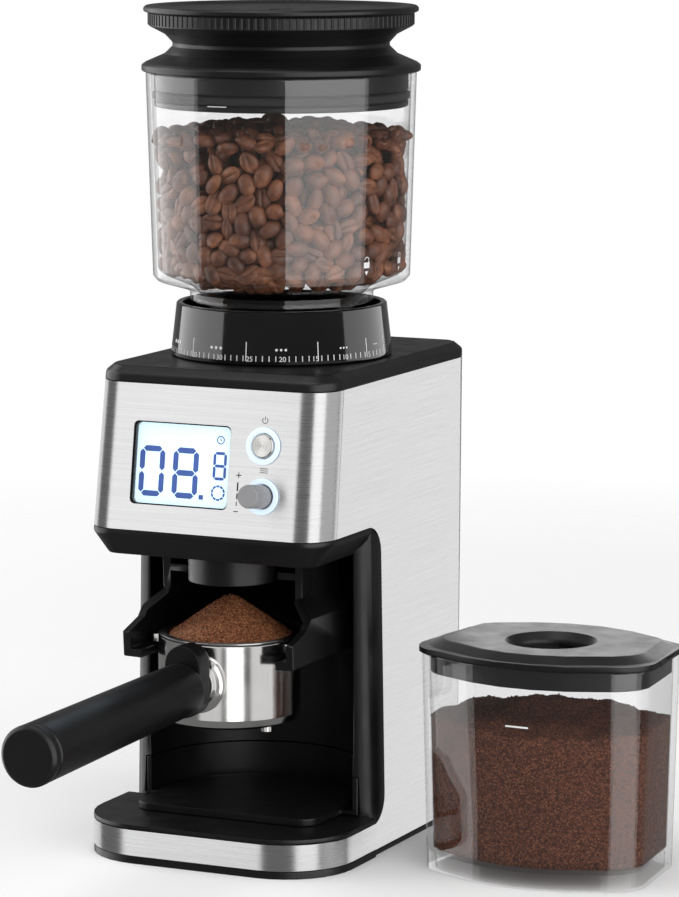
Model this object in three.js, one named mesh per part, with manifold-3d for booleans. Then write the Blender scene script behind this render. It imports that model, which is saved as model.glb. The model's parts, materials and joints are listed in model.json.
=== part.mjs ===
// Conical burr coffee grinder with its portafilter, holder fork, catch tray and grounds container.
// Millimetres, +Z up. The origin is on the ground under the axis of the hopper and the burrs,
// +X is the user's right hand when facing the machine, and the front faces -Y.
import * as THREE from "three";
import { mergeVertices } from "three/addons/utils/BufferGeometryUtils.js";
import Module from "manifold-3d";

const wasm = await Module();
wasm.setup();

// ---------------------------------------------------------------- driving dimensions
const GAP = 0.3; // running and assembly clearance between neighbouring pieces
const STEEL = 0.8; // thickness of the steel sheets
const WALL = 2.5; // thickness of the moulded walls

const BODY = { half: 62.7, front: -74.3, back: 71.2, frontRadius: 15.5, backRadius: 12 };
const BODY_TOP = 218.2; // top edge of the steel, where the black top cover begins
const COVER_TOP = 225.3;
const SIDE_TAPER = 0.017; // the flanks draw in by this much per mm of height
const BACK_LEAN = 0.0615; // the back leans outwards by this much per mm of height
const FRONT_LEAN = 0.1515; // the head's face comes forward by this much per mm downwards
const HEAD_BOTTOM = 140; // flat underside of the head
const STEEL_BOTTOM = 152.4; // lower edge of the steel on the head

const BASE = { half: 64.1, front: -92.6, radius: 32.7, plate: 3.3, deck: 18, strip: 15.6 };
const SEAM_Y = -33.7; // where the base strip ends and the side sheet begins
const CUTOUT_Y = -20.6; // edge of the side sheet beside the bay
const COLUMN_Y = -34; // front face of the column

const BAY = { radius: 52, centreY: -30 };
const CHUTE = { y: -52, radius: 20.1, bore: 17.4, bottom: 127.2 };
const TRAY = { wallTop: 36, padTop: 21.6, padHalf: 46, padFront: -64.5 };

const DIAL = { bottom: 225.7, top: 249.8, foot: 51.1, head: 48.7, bore: 45.7 };
const HOPPER = { neck: 42.4, foot: 59.4, rim: 62.3, bottom: 231, shoulder: 262.2, top: 355.6 };

const BURR = { ring: 30, cone: 23, bottom: 182, top: 206 };
const MOTOR = { y: 48.5, radius: 22, bottom: 52, top: 138, rotor: 17 };
const GEAR = { module: 1.5, pinion: 10, idlerBig: 30, idlerSmall: 10, drive: 30 };

const BOWL = { y: -54, radius: 33, bottom: 63.3, floor: 3, rim: 102.6, bore: 30.4 };
const SPOUT = { x: 17.3, y: 2.5, radius: 3.1, bore: 1.8, bottom: 58 };
const HANDLE = { y: -103, end: -237, z: 85.5, endZ: 83, radius: 12.2, endRadius: 13.3 };
const HOOK = { outer: 43.1, wall: 3.6, bottom: 92.5, top: 104, front: -77.5, rear: 14 };

const BIN = { x: 143.5, y: -15, turn: -1.5, half: 53, height: 99, floor: 7, wall: 2.2, flare: 0.03 };

const SEGMENTS = 32; // facets of a full turn on the larger round pieces

// ---------------------------------------------------------------- finishes
const FINISH = {
  satin_black: { color: 0x151517, roughness: 0.45, metalness: 0 },
  gloss_black: { color: 0x08080a, roughness: 0.12, metalness: 0 },
  brushed_steel: { color: 0xc9cacc, roughness: 0.32, metalness: 1 },
  polished_steel: { color: 0xdcdde0, roughness: 0.12, metalness: 1 },
  burr_steel: { color: 0x8d9094, roughness: 0.35, metalness: 1 },
  zinc: { color: 0xa7a9ab, roughness: 0.4, metalness: 1 },
  brass: { color: 0xb98d43, roughness: 0.3, metalness: 1 },
  clear: { color: 0xe9eef0, roughness: 0.05, metalness: 0 },
  rubber: { color: 0x1c1c1c, roughness: 0.85, metalness: 0 },
  board: { color: 0x14532d, roughness: 0.5, metalness: 0 },
  backlight: { color: 0xbfe2ff, roughness: 0.3, metalness: 0 },
  nylon: { color: 0xe8e4d8, roughness: 0.5, metalness: 0 },
  grey_plastic: { color: 0x8b8f95, roughness: 0.4, metalness: 0 },
};

// ---------------------------------------------------------------- solids
// Turns the faces of a closed geometry outwards and shares its vertices.
function closed(geometry) {
  const bare = geometry.clone();
  bare.deleteAttribute("normal");
  bare.deleteAttribute("uv");
  const merged = mergeVertices(bare, 1e-3);
  const at = merged.attributes.position;
  const index = merged.index.array;
  const [a, b, c] = [new THREE.Vector3(), new THREE.Vector3(), new THREE.Vector3()];
  let volume = 0;
  for (let i = 0; i < index.length; i += 3) {
    a.fromBufferAttribute(at, index[i]);
    b.fromBufferAttribute(at, index[i + 1]);
    c.fromBufferAttribute(at, index[i + 2]);
    volume += a.dot(b.cross(c));
  }
  if (volume < 0) {
    for (let i = 0; i < index.length; i += 3) {
      [index[i + 1], index[i + 2]] = [index[i + 2], index[i + 1]];
    }
  }
  return merged;
}

function toManifold(geometry) {
  const shared = closed(geometry);
  return new wasm.Manifold(
    new wasm.Mesh({
      numProp: 3,
      vertProperties: new Float32Array(shared.attributes.position.array),
      triVerts: new Uint32Array(shared.index.array),
    }),
  );
}

function toGeometry(manifold) {
  const mesh = manifold.getMesh();
  const stride = mesh.numProp;
  const position = new Float32Array(mesh.numVert * 3);
  for (let i = 0; i < mesh.numVert; i++) {
    position.set(mesh.vertProperties.subarray(i * stride, i * stride + 3), i * 3);
  }
  const geometry = new THREE.BufferGeometry();
  geometry.setAttribute("position", new THREE.BufferAttribute(position, 3));
  geometry.setIndex(new THREE.BufferAttribute(mesh.triVerts, 1));
  return geometry;
}

function join(...geometries) {
  return toGeometry(geometries.map(toManifold).reduce((all, one) => all.add(one)));
}

function cut(geometry, ...tools) {
  return toGeometry(tools.map(toManifold).reduce((left, tool) => left.subtract(tool), toManifold(geometry)));
}

function common(geometry, other) {
  return toGeometry(toManifold(geometry).intersect(toManifold(other)));
}

// ---------------------------------------------------------------- shapes
// A closed outline of points and arcs raised from z0 to z1.
function prism(shape, z0, z1, curveSegments = 3) {
  const settings = { depth: z1 - z0, bevelEnabled: false, curveSegments };
  return new THREE.ExtrudeGeometry(shape, settings).translate(0, 0, z0);
}

function block(x0, x1, y0, y1, z0, z1) {
  const box = new THREE.BoxGeometry(x1 - x0, y1 - y0, z1 - z0);
  return box.translate((x0 + x1) / 2, (y0 + y1) / 2, (z0 + z1) / 2);
}

function rod(radius, z0, z1, x = 0, y = 0, segments = 24) {
  const cylinder = new THREE.CylinderGeometry(radius, radius, z1 - z0, segments);
  return cylinder.rotateX(Math.PI / 2).translate(x, y, (z0 + z1) / 2);
}

// A profile of [radius, height] points turned about the Z axis. It closes on itself.
function turned(profile, segments = SEGMENTS) {
  const points = profile.map(([radius, height]) => new THREE.Vector2(radius, height));
  points.push(points[0].clone());
  return new THREE.LatheGeometry(points, segments).rotateX(Math.PI / 2);
}

function tubeRing(outer, inner, z0, z1, segments = SEGMENTS) {
  return turned([[inner, z0], [outer, z0], [outer, z1], [inner, z1]], segments);
}

function roundedRectangle(x0, x1, y0, y1, frontRadius, backRadius = frontRadius) {
  const shape = new THREE.Shape();
  const turn = Math.PI / 2;
  shape.moveTo(x0 + frontRadius, y0);
  shape.absarc(x1 - frontRadius, y0 + frontRadius, frontRadius, -turn, 0, false);
  shape.absarc(x1 - backRadius, y1 - backRadius, backRadius, 0, turn, false);
  shape.absarc(x0 + backRadius, y1 - backRadius, backRadius, turn, 2 * turn, false);
  shape.absarc(x0 + frontRadius, y0 + frontRadius, frontRadius, 2 * turn, 3 * turn, false);
  return shape;
}

// The bay in plan: straight sides from the front and a half round back.
function bayShape(radius, front) {
  const shape = new THREE.Shape();
  shape.moveTo(-radius, front);
  shape.lineTo(radius, front);
  shape.absarc(0, BAY.centreY, radius, 0, Math.PI, false);
  return shape;
}

// The outline of the body in plan, drawn in from its outer face by inset.
function bodyShape(inset, front = BODY.front, frontRadius = BODY.frontRadius) {
  return roundedRectangle(
    -BODY.half + inset,
    BODY.half - inset,
    front + inset,
    BODY.back - inset,
    frontRadius - inset,
    BODY.backRadius - inset,
  );
}

// Gives a straight prism the body's leaning flanks, back and face.
function leaned(geometry) {
  const at = geometry.attributes.position;
  for (let i = 0; i < at.count; i++) {
    const [x, y, z] = [at.getX(i), at.getY(i), at.getZ(i)];
    at.setX(i, x * (1 - (SIDE_TAPER * z) / BODY.half));
    if (y > 0) at.setY(i, y * (1 + (BACK_LEAN * z) / BODY.back));
    if (y < COLUMN_Y - 10) at.setY(i, y - FRONT_LEAN * (BODY_TOP - z));
  }
  return geometry;
}

// A side profile of [y, z] points drawn across the whole width.
function across(profile, half = 80) {
  const shape = new THREE.Shape(profile.map(([y, z]) => new THREE.Vector2(y, z)));
  const sheet = prism(shape, -half, half);
  return sheet.applyMatrix4(new THREE.Matrix4().set(0, 0, 1, 0, 1, 0, 0, 0, 0, 1, 0, 0, 0, 0, 0, 1));
}

// ---------------------------------------------------------------- the assembly
const grinder = new THREE.Group();

function add(name, geometry, finish, parent = grinder) {
  const mesh = new THREE.Mesh(closed(geometry), new THREE.MeshStandardMaterial(FINISH[finish]));
  mesh.name = name;
  parent.add(mesh);
  return mesh;
}

// The control panel is the head's leaning face: X to the right, Y up the face, Z out of it.
const PANEL_Z = 183;
const panel = new THREE.Group();
panel.position.set(0, BODY.front - FRONT_LEAN * (BODY_TOP - PANEL_Z), PANEL_Z);
panel.rotation.x = Math.PI / 2 - Math.atan(FRONT_LEAN);
panel.updateMatrix();
grinder.add(panel);

function onPanel(geometry) {
  return geometry.applyMatrix4(panel.matrix);
}

const WINDOW = { x0: -36.7, x1: 12.4, y0: -18.9, y1: 18.8, radius: 2.4 };
const BUTTON = { x: 28.9, y: 11, radius: 5.4, ring: 8.4, bore: 7.2 };
const KNOB = { x: 29.8, y: -11.6, radius: 5.3, ring: 8.2, bore: 7.2, length: 15.4 };

function windowShape(inset) {
  return roundedRectangle(
    WINDOW.x0 + inset,
    WINDOW.x1 - inset,
    WINDOW.y0 + inset,
    WINDOW.y1 - inset,
    WINDOW.radius,
  );
}

// ---------------------------------------------------------------- casing
const FEET = [
  ["front_left", -40, -64],
  ["front_right", 40, -64],
  ["rear_left", -46, 54],
  ["rear_right", 46, 54],
];
const SCREWS = [
  ["front_left", -50, -40],
  ["front_right", 50, -40],
  ["rear_left", -55.6, 24],
  ["rear_right", 55.6, 24],
];

function baseShape(inset) {
  return roundedRectangle(
    -BASE.half + inset,
    BASE.half - inset,
    BASE.front + inset,
    SEAM_Y,
    BASE.radius - inset,
    0.5,
  );
}

function basePlate() {
  const front = prism(baseShape(0), 0, BASE.plate, 4);
  const rear = prism(roundedRectangle(-BODY.half, BODY.half, SEAM_Y - 8, BODY.back, 0.5, 12), 0, 2.2);
  const step = prism(roundedRectangle(-56, 56, -80, 66, 28, 10), 1, 4.6);
  const pockets = FEET.map(([, x, y]) => rod(8 + GAP, -1, 1.6, x, y, 16));
  const holes = SCREWS.flatMap(([, x, y]) => [rod(3.4, -1, 2, x, y, 12), rod(1.9, -1, 6, x, y, 8)]);
  return cut(join(front, rear, step), ...pockets, ...holes);
}

function baseStrip() {
  const outer = prism(baseShape(0), BASE.plate + GAP, BASE.strip, 4);
  const inner = prism(baseShape(STEEL), 0, 30, 4);
  const back = block(-80, 80, SEAM_Y - GAP, 0, 0, 30);
  return cut(outer, inner, back);
}

// The side view of the area that the steel side sheet covers.
function sheetProfile(edge, top) {
  const seam = (z) => BODY.front + 16.6 + edge - FRONT_LEAN * (BODY_TOP - z);
  const shape = new THREE.Shape();
  const round = 13;
  const low = 14.2 - edge;
  const side = CUTOUT_Y + edge;
  shape.moveTo(SEAM_Y + edge, -5);
  shape.lineTo(120, -5);
  shape.lineTo(120, top);
  shape.lineTo(seam(top), top);
  shape.lineTo(seam(STEEL_BOTTOM), STEEL_BOTTOM + edge);
  shape.absarc(side - round, STEEL_BOTTOM + edge - round, round, Math.PI / 2, 0, true);
  shape.absarc(side - round, low + round, round, 0, -Math.PI / 2, true);
  shape.lineTo(SEAM_Y + edge, low);
  const sheet = prism(shape, -80, 80);
  return sheet.applyMatrix4(new THREE.Matrix4().set(0, 0, 1, 0, 1, 0, 0, 0, 0, 1, 0, 0, 0, 0, 0, 1));
}

const INLET = { x: 30, z: 32, width: 21, height: 13, face: 72.8 };

function steelWrap() {
  const outer = leaned(prism(bodyShape(0, -60, 2), 2.5, BODY_TOP));
  const inner = leaned(prism(bodyShape(STEEL, -60, 2), 0, 230));
  const opening = block(
    INLET.x - INLET.width / 2 - 1,
    INLET.x + INLET.width / 2 + 1,
    55,
    100,
    INLET.z - INLET.height / 2 - 1,
    INLET.z + INLET.height / 2 + 1,
  );
  return cut(common(cut(outer, inner), sheetProfile(0, 300)), opening);
}

function frontPanel() {
  const outer = leaned(prism(bodyShape(0), STEEL_BOTTOM, BODY_TOP, 4));
  const inner = leaned(prism(bodyShape(STEEL), 100, 230, 4));
  const seam = (z) => BODY.front + 16.3 - FRONT_LEAN * (BODY_TOP - z);
  const behind = across([[seam(100), 100], [120, 100], [120, 230], [seam(230), 230]]);
  const openings = [
    onPanel(prism(windowShape(0), -6, 6, 2)),
    onPanel(rod(BUTTON.bore + GAP, -6, 6, BUTTON.x, BUTTON.y)),
    onPanel(rod(KNOB.bore + GAP, -6, 6, KNOB.x, KNOB.y)),
  ];
  return cut(outer, inner, behind, ...openings);
}

// The black moulding: base deck, column with the bay, head and the flush trim beside the steel.
function mainHousing() {
  const skin = STEEL + GAP; // room for the steel sheets
  const base = join(
    prism(baseShape(skin), BASE.plate + GAP, 17, 4),
    prism(baseShape(0), BASE.strip + GAP, BASE.deck, 4),
  );
  const columnShape = (inset) => bodyShape(inset, COLUMN_Y - inset, 10 + inset);
  const column = leaned(prism(columnShape(skin), BASE.plate + GAP, HEAD_BOTTOM + 5));
  const flush = cut(leaned(prism(columnShape(0), BASE.deck - 2, 151)), sheetProfile(-GAP, 300));
  const head = leaned(prism(bodyShape(skin), STEEL_BOTTOM - 2, BODY_TOP - GAP));
  const lipRise = 10;
  const lipInset = 8;
  const lip = new THREE.ExtrudeGeometry(bodyShape(lipInset), {
    depth: 40,
    bevelThickness: lipRise,
    bevelSize: lipInset,
    bevelSegments: 1,
    curveSegments: 4,
  }).translate(0, 0, HEAD_BOTTOM + lipRise);
  const lipZone = cut(block(-80, 80, -110, -30, 0, STEEL_BOTTOM - GAP), sheetProfile(-GAP, 300));
  const lipBand = common(leaned(lip), lipZone);

  const bay = prism(bayShape(BAY.radius, -60), BASE.deck, HEAD_BOTTOM, 9);
  const recess = prism(bayShape(BAY.radius + 3, -60), BASE.deck, TRAY.wallTop + GAP, 9);
  const shell = cut(join(base, column, flush, head, lipBand), bay, recess);

  const inset = skin + WALL;
  const columnRoom = leaned(prism(bodyShape(inset, COLUMN_Y + WALL - inset, 8), 0, 160, 1));
  const headRoom = join(
    leaned(prism(bodyShape(inset), HEAD_BOTTOM + lipRise, 230, 2)),
    leaned(prism(bodyShape(inset + lipInset), HEAD_BOTTOM + WALL, HEAD_BOTTOM + lipRise + 1, 2)),
  );
  const bayCore = join(
    prism(bayShape(BAY.radius + WALL, -60), BASE.deck - WALL, HEAD_BOTTOM + WALL, 4),
    prism(bayShape(BAY.radius + 3 + WALL, -60), BASE.deck - WALL, TRAY.wallTop + WALL, 4),
  );
  const baseRoom = prism(baseShape(skin + WALL), 0, BASE.deck - WALL, 2);
  const passage = block(-57, 57, SEAM_Y - 2, COLUMN_Y + 8, 0, BASE.deck - WALL);
  const rooms = join(cut(columnRoom, bayCore), headRoom, baseRoom, passage);
  const bosses = SCREWS.map(([, x, y]) => block(x - 4, x + 4, y - 4, y + 4, BASE.plate + 1.6, 16));
  const boreHoles = SCREWS.map(([, x, y]) => rod(1.8, 0, 14, x, y, 8));

  const openings = [
    rod(CHUTE.radius + GAP, 120, 150, 0, CHUTE.y, 28),
    onPanel(prism(windowShape(0.6), -10, 10, 2)),
    onPanel(rod(BUTTON.bore + GAP, -10, 10, BUTTON.x, BUTTON.y)),
    onPanel(rod(KNOB.bore + GAP, -10, 10, KNOB.x, KNOB.y)),
    block(
      INLET.x - INLET.width / 2 - GAP,
      INLET.x + INLET.width / 2 + GAP,
      55,
      100,
      INLET.z - INLET.height / 2 - GAP,
      INLET.z + INLET.height / 2 + GAP,
    ),
  ];
  const hollow = cut(shell, rooms, ...openings);
  return cut(join(hollow, ...bosses), ...boreHoles);
}

function topCover() {
  const [chamfer, drawIn, depth] = [3.2, 3.9, 40];
  const crown = (inset, top) =>
    new THREE.ExtrudeGeometry(bodyShape(inset + drawIn), {
      depth,
      bevelThickness: chamfer,
      bevelSize: drawIn,
      bevelSegments: 1,
      curveSegments: 4,
    }).translate(0, 0, top - depth - chamfer);
  const aboveSteel = block(-80, 80, -110, 110, BODY_TOP + GAP, 240);
  const outer = common(leaned(crown(0, COVER_TOP)), aboveSteel);
  const inner = leaned(crown(WALL, COVER_TOP - WALL));
  return cut(outer, inner, rod(46.2, 200, 240, 0, 0, SEGMENTS));
}

// ---------------------------------------------------------------- controls
function ringBezel(spec, height) {
  const bore = spec.radius + 0.4;
  return turned(
    [[bore, -3.2], [spec.bore, -3.2], [spec.bore, GAP], [spec.ring, GAP], [spec.ring, height], [bore, height]],
    24,
  ).translate(spec.x, spec.y, 0);
}

function addControls() {
  add("display_window", prism(windowShape(0.9), -3, -2, 2), "clear", panel);
  const display = roundedRectangle(WINDOW.x0 - 3, WINDOW.x1 + 3, WINDOW.y0 - 3, WINDOW.y1 + 3, 1);
  add("display_module", prism(display, -8, -4, 2), "backlight", panel);
  add("control_board", block(-48, 48, -24, 24, -9.9, -8.4), "board", panel);

  add("button_light_ring", ringBezel(BUTTON, 1), "backlight", panel);
  const cap = turned([[0, -3.2], [BUTTON.radius, -3.2], [BUTTON.radius, 1.2], [4.8, 1.8], [0, 1.5]], 24);
  add("power_button", cap.translate(BUTTON.x, BUTTON.y, 0), "polished_steel", panel);
  const tact = join(block(-3.5, 3.5, -3.5, 3.5, -8.1, -5.6), rod(1.6, -6, -5.1, 0, 0, 12));
  add("power_switch", tact.translate(BUTTON.x, BUTTON.y, 0), "grey_plastic", panel);

  add("knob_bezel", ringBezel(KNOB, 1.2), "polished_steel", panel);
  const encoder = join(block(-6, 6, -6, 6, -8.1, -5.2), tubeRing(4.4, 3.3, -5.5, -4.4, 20));
  add("rotary_encoder", encoder.translate(KNOB.x, KNOB.y, 0), "grey_plastic", panel);
  add("encoder_shaft", rod(3, -4.1, 8, KNOB.x, KNOB.y, 20), "zinc", panel);
  add("menu_knob", menuKnob().translate(KNOB.x, KNOB.y, 0), "grey_plastic", panel);
}

// A ribbed push-and-turn knob with a blind bore for its shaft.
function menuKnob() {
  const ribs = 24;
  const shape = new THREE.Shape();
  for (let i = 0; i < ribs * 2; i++) {
    const angle = (Math.PI * i) / ribs;
    const radius = i % 2 ? KNOB.radius - 0.35 : KNOB.radius;
    const [x, y] = [radius * Math.cos(angle), radius * Math.sin(angle)];
    if (i) shape.lineTo(x, y);
    else shape.moveTo(x, y);
  }
  const grip = prism(shape, 1.2, KNOB.length - 0.8, 1);
  const face = turned([[0, 10], [KNOB.radius - 0.5, 10], [KNOB.radius - 0.5, KNOB.length], [0, KNOB.length]], 24);
  return cut(join(grip, face), rod(3 + GAP, 0, 8 + GAP, 0, 0, 16));
}

// ---------------------------------------------------------------- drive train
// A spur gear of straight-flanked teeth. phase is the direction of the middle of one tooth.
function gearShape(teeth, phase) {
  const module = GEAR.module;
  const pitch = (teeth * module) / 2;
  const step = (2 * Math.PI) / teeth;
  const backlash = 0.3 * module;
  const half = ((Math.PI * module) / 2 - backlash) / 2 / pitch;
  const corners = [
    [pitch - 1.05 * module, -half - 0.36 * (module / pitch)],
    [pitch + 0.72 * module, -half + 0.3 * (module / pitch)],
    [pitch + 0.72 * module, half - 0.3 * (module / pitch)],
    [pitch - 1.05 * module, half + 0.36 * (module / pitch)],
  ];
  const shape = new THREE.Shape();
  for (let i = 0; i < teeth; i++) {
    for (const [radius, turn] of corners) {
      const angle = phase + i * step + turn;
      const [x, y] = [radius * Math.cos(angle), radius * Math.sin(angle)];
      if (shape.curves.length || shape.currentPoint.x || shape.currentPoint.y) shape.lineTo(x, y);
      else shape.moveTo(x, y);
    }
  }
  return shape;
}

const STAGE_ONE = ((GEAR.pinion + GEAR.idlerBig) * GEAR.module) / 2;
const STAGE_TWO = ((GEAR.idlerSmall + GEAR.drive) * GEAR.module) / 2;
// The idler sits where the centre distances of both stages meet, to the right of the line of shafts.
const IDLER_Y = (STAGE_TWO ** 2 - STAGE_ONE ** 2 + MOTOR.y ** 2) / (2 * MOTOR.y);
const IDLER = { x: Math.sqrt(STAGE_TWO ** 2 - IDLER_Y ** 2), y: IDLER_Y };
const GEAR_Z = { low: 146, step: 150.2, drive: 151, top: 156 };

function addDrive() {
  const toIdlerFromMotor = Math.atan2(IDLER.y - MOTOR.y, IDLER.x);
  const toMotor = toIdlerFromMotor + Math.PI;
  const toIdlerFromBurr = Math.atan2(IDLER.y, IDLER.x);
  const toBurr = toIdlerFromBurr + Math.PI;
  const halfTooth = (teeth) => Math.PI / teeth;

  const can = turned([
    [4, MOTOR.bottom],
    [MOTOR.radius, MOTOR.bottom],
    [MOTOR.radius, MOTOR.top],
    [MOTOR.radius - 2, MOTOR.top],
    [MOTOR.radius - 2, MOTOR.bottom + 2],
    [4, MOTOR.bottom + 2],
  ], 24);
  add("motor_can", can.translate(0, MOTOR.y, 0), "zinc");
  const endCap = turned([
    [4, MOTOR.top + GAP],
    [MOTOR.radius, MOTOR.top + GAP],
    [MOTOR.radius, MOTOR.top + 2.3],
    [7, MOTOR.top + 2.3],
    [7, MOTOR.top + 4.2],
    [4, MOTOR.top + 4.2],
  ], 20);
  add("motor_end_cap", endCap.translate(0, MOTOR.y, 0), "zinc");
  const rotor = turned([
    [0, MOTOR.bottom - 4],
    [3, MOTOR.bottom - 4],
    [3, MOTOR.bottom + 10],
    [MOTOR.rotor, MOTOR.bottom + 10],
    [MOTOR.rotor, MOTOR.top - 14],
    [9, MOTOR.top - 13],
    [9, MOTOR.top - 4],
    [3, MOTOR.top - 4],
    [3, GEAR_Z.low + 5],
    [0, GEAR_Z.low + 5],
  ], 20);
  add("motor_rotor", rotor.translate(0, MOTOR.y, 0), "burr_steel");

  const pinion = prism(gearShape(GEAR.pinion, toIdlerFromMotor), GEAR_Z.low, GEAR_Z.step - 0.2, 1);
  add("motor_pinion", cut(pinion, rod(3 + 0.05, 100, 200)).translate(0, MOTOR.y, 0), "brass");

  const big = gearShape(GEAR.idlerBig, toMotor + halfTooth(GEAR.idlerBig));
  const small = gearShape(GEAR.idlerSmall, toBurr);
  const idler = join(prism(big, GEAR_Z.low, GEAR_Z.step - 0.2, 1), prism(small, GEAR_Z.step - 1, GEAR_Z.top, 1));
  add("idler_gear", cut(idler, rod(2.5 + 0.05, 100, 200)).translate(IDLER.x, IDLER.y, 0), "nylon");
  add("idler_axle", rod(2.5, 143.2, 157, IDLER.x, IDLER.y, 20), "polished_steel");

  const drive = gearShape(GEAR.drive, toIdlerFromBurr + halfTooth(GEAR.drive));
  add("drive_gear", cut(prism(drive, GEAR_Z.drive, GEAR_Z.top, 1), rod(4.55, 100, 200)), "burr_steel");
  add("burr_shaft", turned([[0, 146.2], [4.5, 146.2], [4.5, 205], [0, 205]], 24), "polished_steel");
}

// A cover in plan that reaches round the three gears.
function gearboxShape(margin) {
  const shape = new THREE.Shape();
  const wide = 26 + margin;
  shape.moveTo(-24 - margin, 0);
  shape.absarc(0, 0, 24 + margin, Math.PI, 1.85 * Math.PI, false);
  shape.absarc(IDLER.x, IDLER.y, wide, -0.3 * Math.PI, 0.35 * Math.PI, false);
  shape.absarc(0, MOTOR.y, 18 + margin, 0.25 * Math.PI, Math.PI, false);
  return shape;
}

function addGearbox() {
  const tray = cut(
    prism(gearboxShape(2.4), 143, 157.2, 5),
    prism(gearboxShape(0.4), 144.8, 160, 5),
    rod(7.5, 130, 150, 0, MOTOR.y),
    rod(2.55, 130, 150, IDLER.x, IDLER.y),
  );
  const seat = rod(6, 144, 145.9, 0, 0, 20);
  add("gearbox_housing", cut(join(tray, seat), rod(2.55, 130, 150, IDLER.x, IDLER.y)), "zinc");
  const lid = cut(
    prism(gearboxShape(2.4), 157.5, 159.3, 5),
    rod(11.5, 150, 170, 0, 0),
    rod(6, 150, 170, 0, MOTOR.y),
  );
  add("gearbox_cover", lid, "zinc");
}

// ---------------------------------------------------------------- grinding chamber and burrs
function addGrindingUnit() {
  const cup = turned([
    [11.4, 159.8],
    [41, 159.8],
    [41, 216.6],
    [44.6, 216.6],
    [44.6, 218.6],
    [38, 218.6],
    [38, 162.2],
    [11.4, 162.2],
  ], 28);
  const duct = block(-17, 17, -67.5, -30, 159.8, 184);
  const ductRoom = block(-15, 15, -65.5, -30, 150, 182);
  const bowlRoom = rod(38, 162.2, 230, 0, 0, 28);
  const chamber = cut(join(cup, cut(duct, rod(40, 150, 190, 0, 0, 28))), ductRoom);
  add("grinding_chamber", cut(chamber, bowlRoom), "zinc");

  const nozzle = turned([
    [CHUTE.bore, CHUTE.bottom],
    [CHUTE.radius, CHUTE.bottom],
    [CHUTE.radius, 157.4],
    [CHUTE.radius + 0.4, 157.4],
    [CHUTE.radius + 0.4, 159.4],
    [CHUTE.bore, 159.4],
  ], 28);
  add("chute_nozzle", nozzle.translate(0, CHUTE.y, 0), "satin_black");

  add("shaft_bearing", turned([[4.6, 157.6], [11, 157.6], [11, 165], [4.6, 165]], 24), "brass");

  const disc = turned([[4.6, 171], [36.5, 171], [36.5, 173.5], [9, 178], [4.6, 178]], 24);
  const paddles = [0, 1, 2, 3].map((i) =>
    block(20, 36.5, -1.5, 1.5, 172, 180).applyMatrix4(new THREE.Matrix4().makeRotationZ((i * Math.PI) / 2)),
  );
  add("sweeper", cut(join(disc, ...paddles), rod(4.6, 160, 190)), "nylon");

  add("cone_burr", coneBurr(), "burr_steel");
  const bolt = join(rod(8, BURR.top + GAP, 208, 0, 0, 20), rod(6.5, 207, 213, 0, 0, 6));
  add("burr_bolt", bolt, "zinc");

  add("ring_burr", ringBurr(), "burr_steel");
  const carrier = turned([
    [BURR.ring + GAP, 184],
    [37.4, 184],
    [37.4, 221.4],
    [44.8, 221.4],
    [44.8, 225],
    [30, 225],
    [26.5, 206.6],
    [26.5, 202.6],
    [BURR.ring + GAP, 202.6],
  ], 28);
  add("burr_carrier", carrier, "satin_black");
}

// The turning inner burr: a cone with slanting cutting ribs.
function coneBurr() {
  const ribs = 9;
  const shape = new THREE.Shape();
  for (let i = 0; i < ribs * 2; i++) {
    const angle = (Math.PI * i) / ribs;
    const radius = i % 2 ? BURR.cone - 2.6 : BURR.cone;
    const [x, y] = [radius * Math.cos(angle), radius * Math.sin(angle)];
    if (i) shape.lineTo(x, y);
    else shape.moveTo(x, y);
  }
  const steps = 4;
  const height = BURR.top - BURR.bottom;
  const body = new THREE.ExtrudeGeometry(shape, { depth: height, steps, bevelEnabled: false });
  const at = body.attributes.position;
  for (let i = 0; i < at.count; i++) {
    const rise = at.getZ(i) / height;
    const shrink = 1 - 0.56 * rise;
    const twist = 0.55 * rise;
    const [x, y] = [at.getX(i) * shrink, at.getY(i) * shrink];
    at.setXY(i, x * Math.cos(twist) - y * Math.sin(twist), x * Math.sin(twist) + y * Math.cos(twist));
  }
  return cut(body.translate(0, 0, BURR.bottom), rod(4.6, 170, 230));
}

// The fixed outer burr: a ring whose bore widens upwards in shallow flutes.
function ringBurr() {
  const blank = turned([
    [24.2, 186],
    [BURR.ring, 186],
    [BURR.ring, 202.3],
    [26, 202.3],
  ], 28);
  const flutes = Array.from({ length: 9 }, (_, i) =>
    rod(2.4, 192, 210, 25.6, 0, 8).applyMatrix4(new THREE.Matrix4().makeRotationZ((i * 2 * Math.PI) / 9)),
  );
  return cut(blank, ...flutes);
}

// ---------------------------------------------------------------- dial, hopper and lid
function grindDial() {
  return turned([
    [DIAL.bore, DIAL.bottom],
    [DIAL.foot, DIAL.bottom],
    [DIAL.foot, DIAL.bottom + 2],
    [DIAL.head, DIAL.top - 0.6],
    [DIAL.head - 0.6, DIAL.top],
    [DIAL.bore, DIAL.top],
  ], 36);
}

function hopper() {
  const wall = 2.3;
  return turned([
    [HOPPER.neck - 2.2, HOPPER.bottom],
    [HOPPER.neck, HOPPER.bottom],
    [HOPPER.neck, 254.5],
    [HOPPER.neck + 1.2, 256],
    [HOPPER.foot - 1.9, 260],
    [HOPPER.foot, HOPPER.shoulder],
    [HOPPER.rim, HOPPER.top],
    [HOPPER.rim - wall, HOPPER.top],
    [HOPPER.foot - wall, 265],
    [54.3, 262.8],
    [42, 257.6],
    [24.4, 242],
    [24.4, 234],
    [26.6, 234],
    [26.6, 241],
    [HOPPER.neck - 2.2, 253.3],
  ], 30);
}

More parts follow.
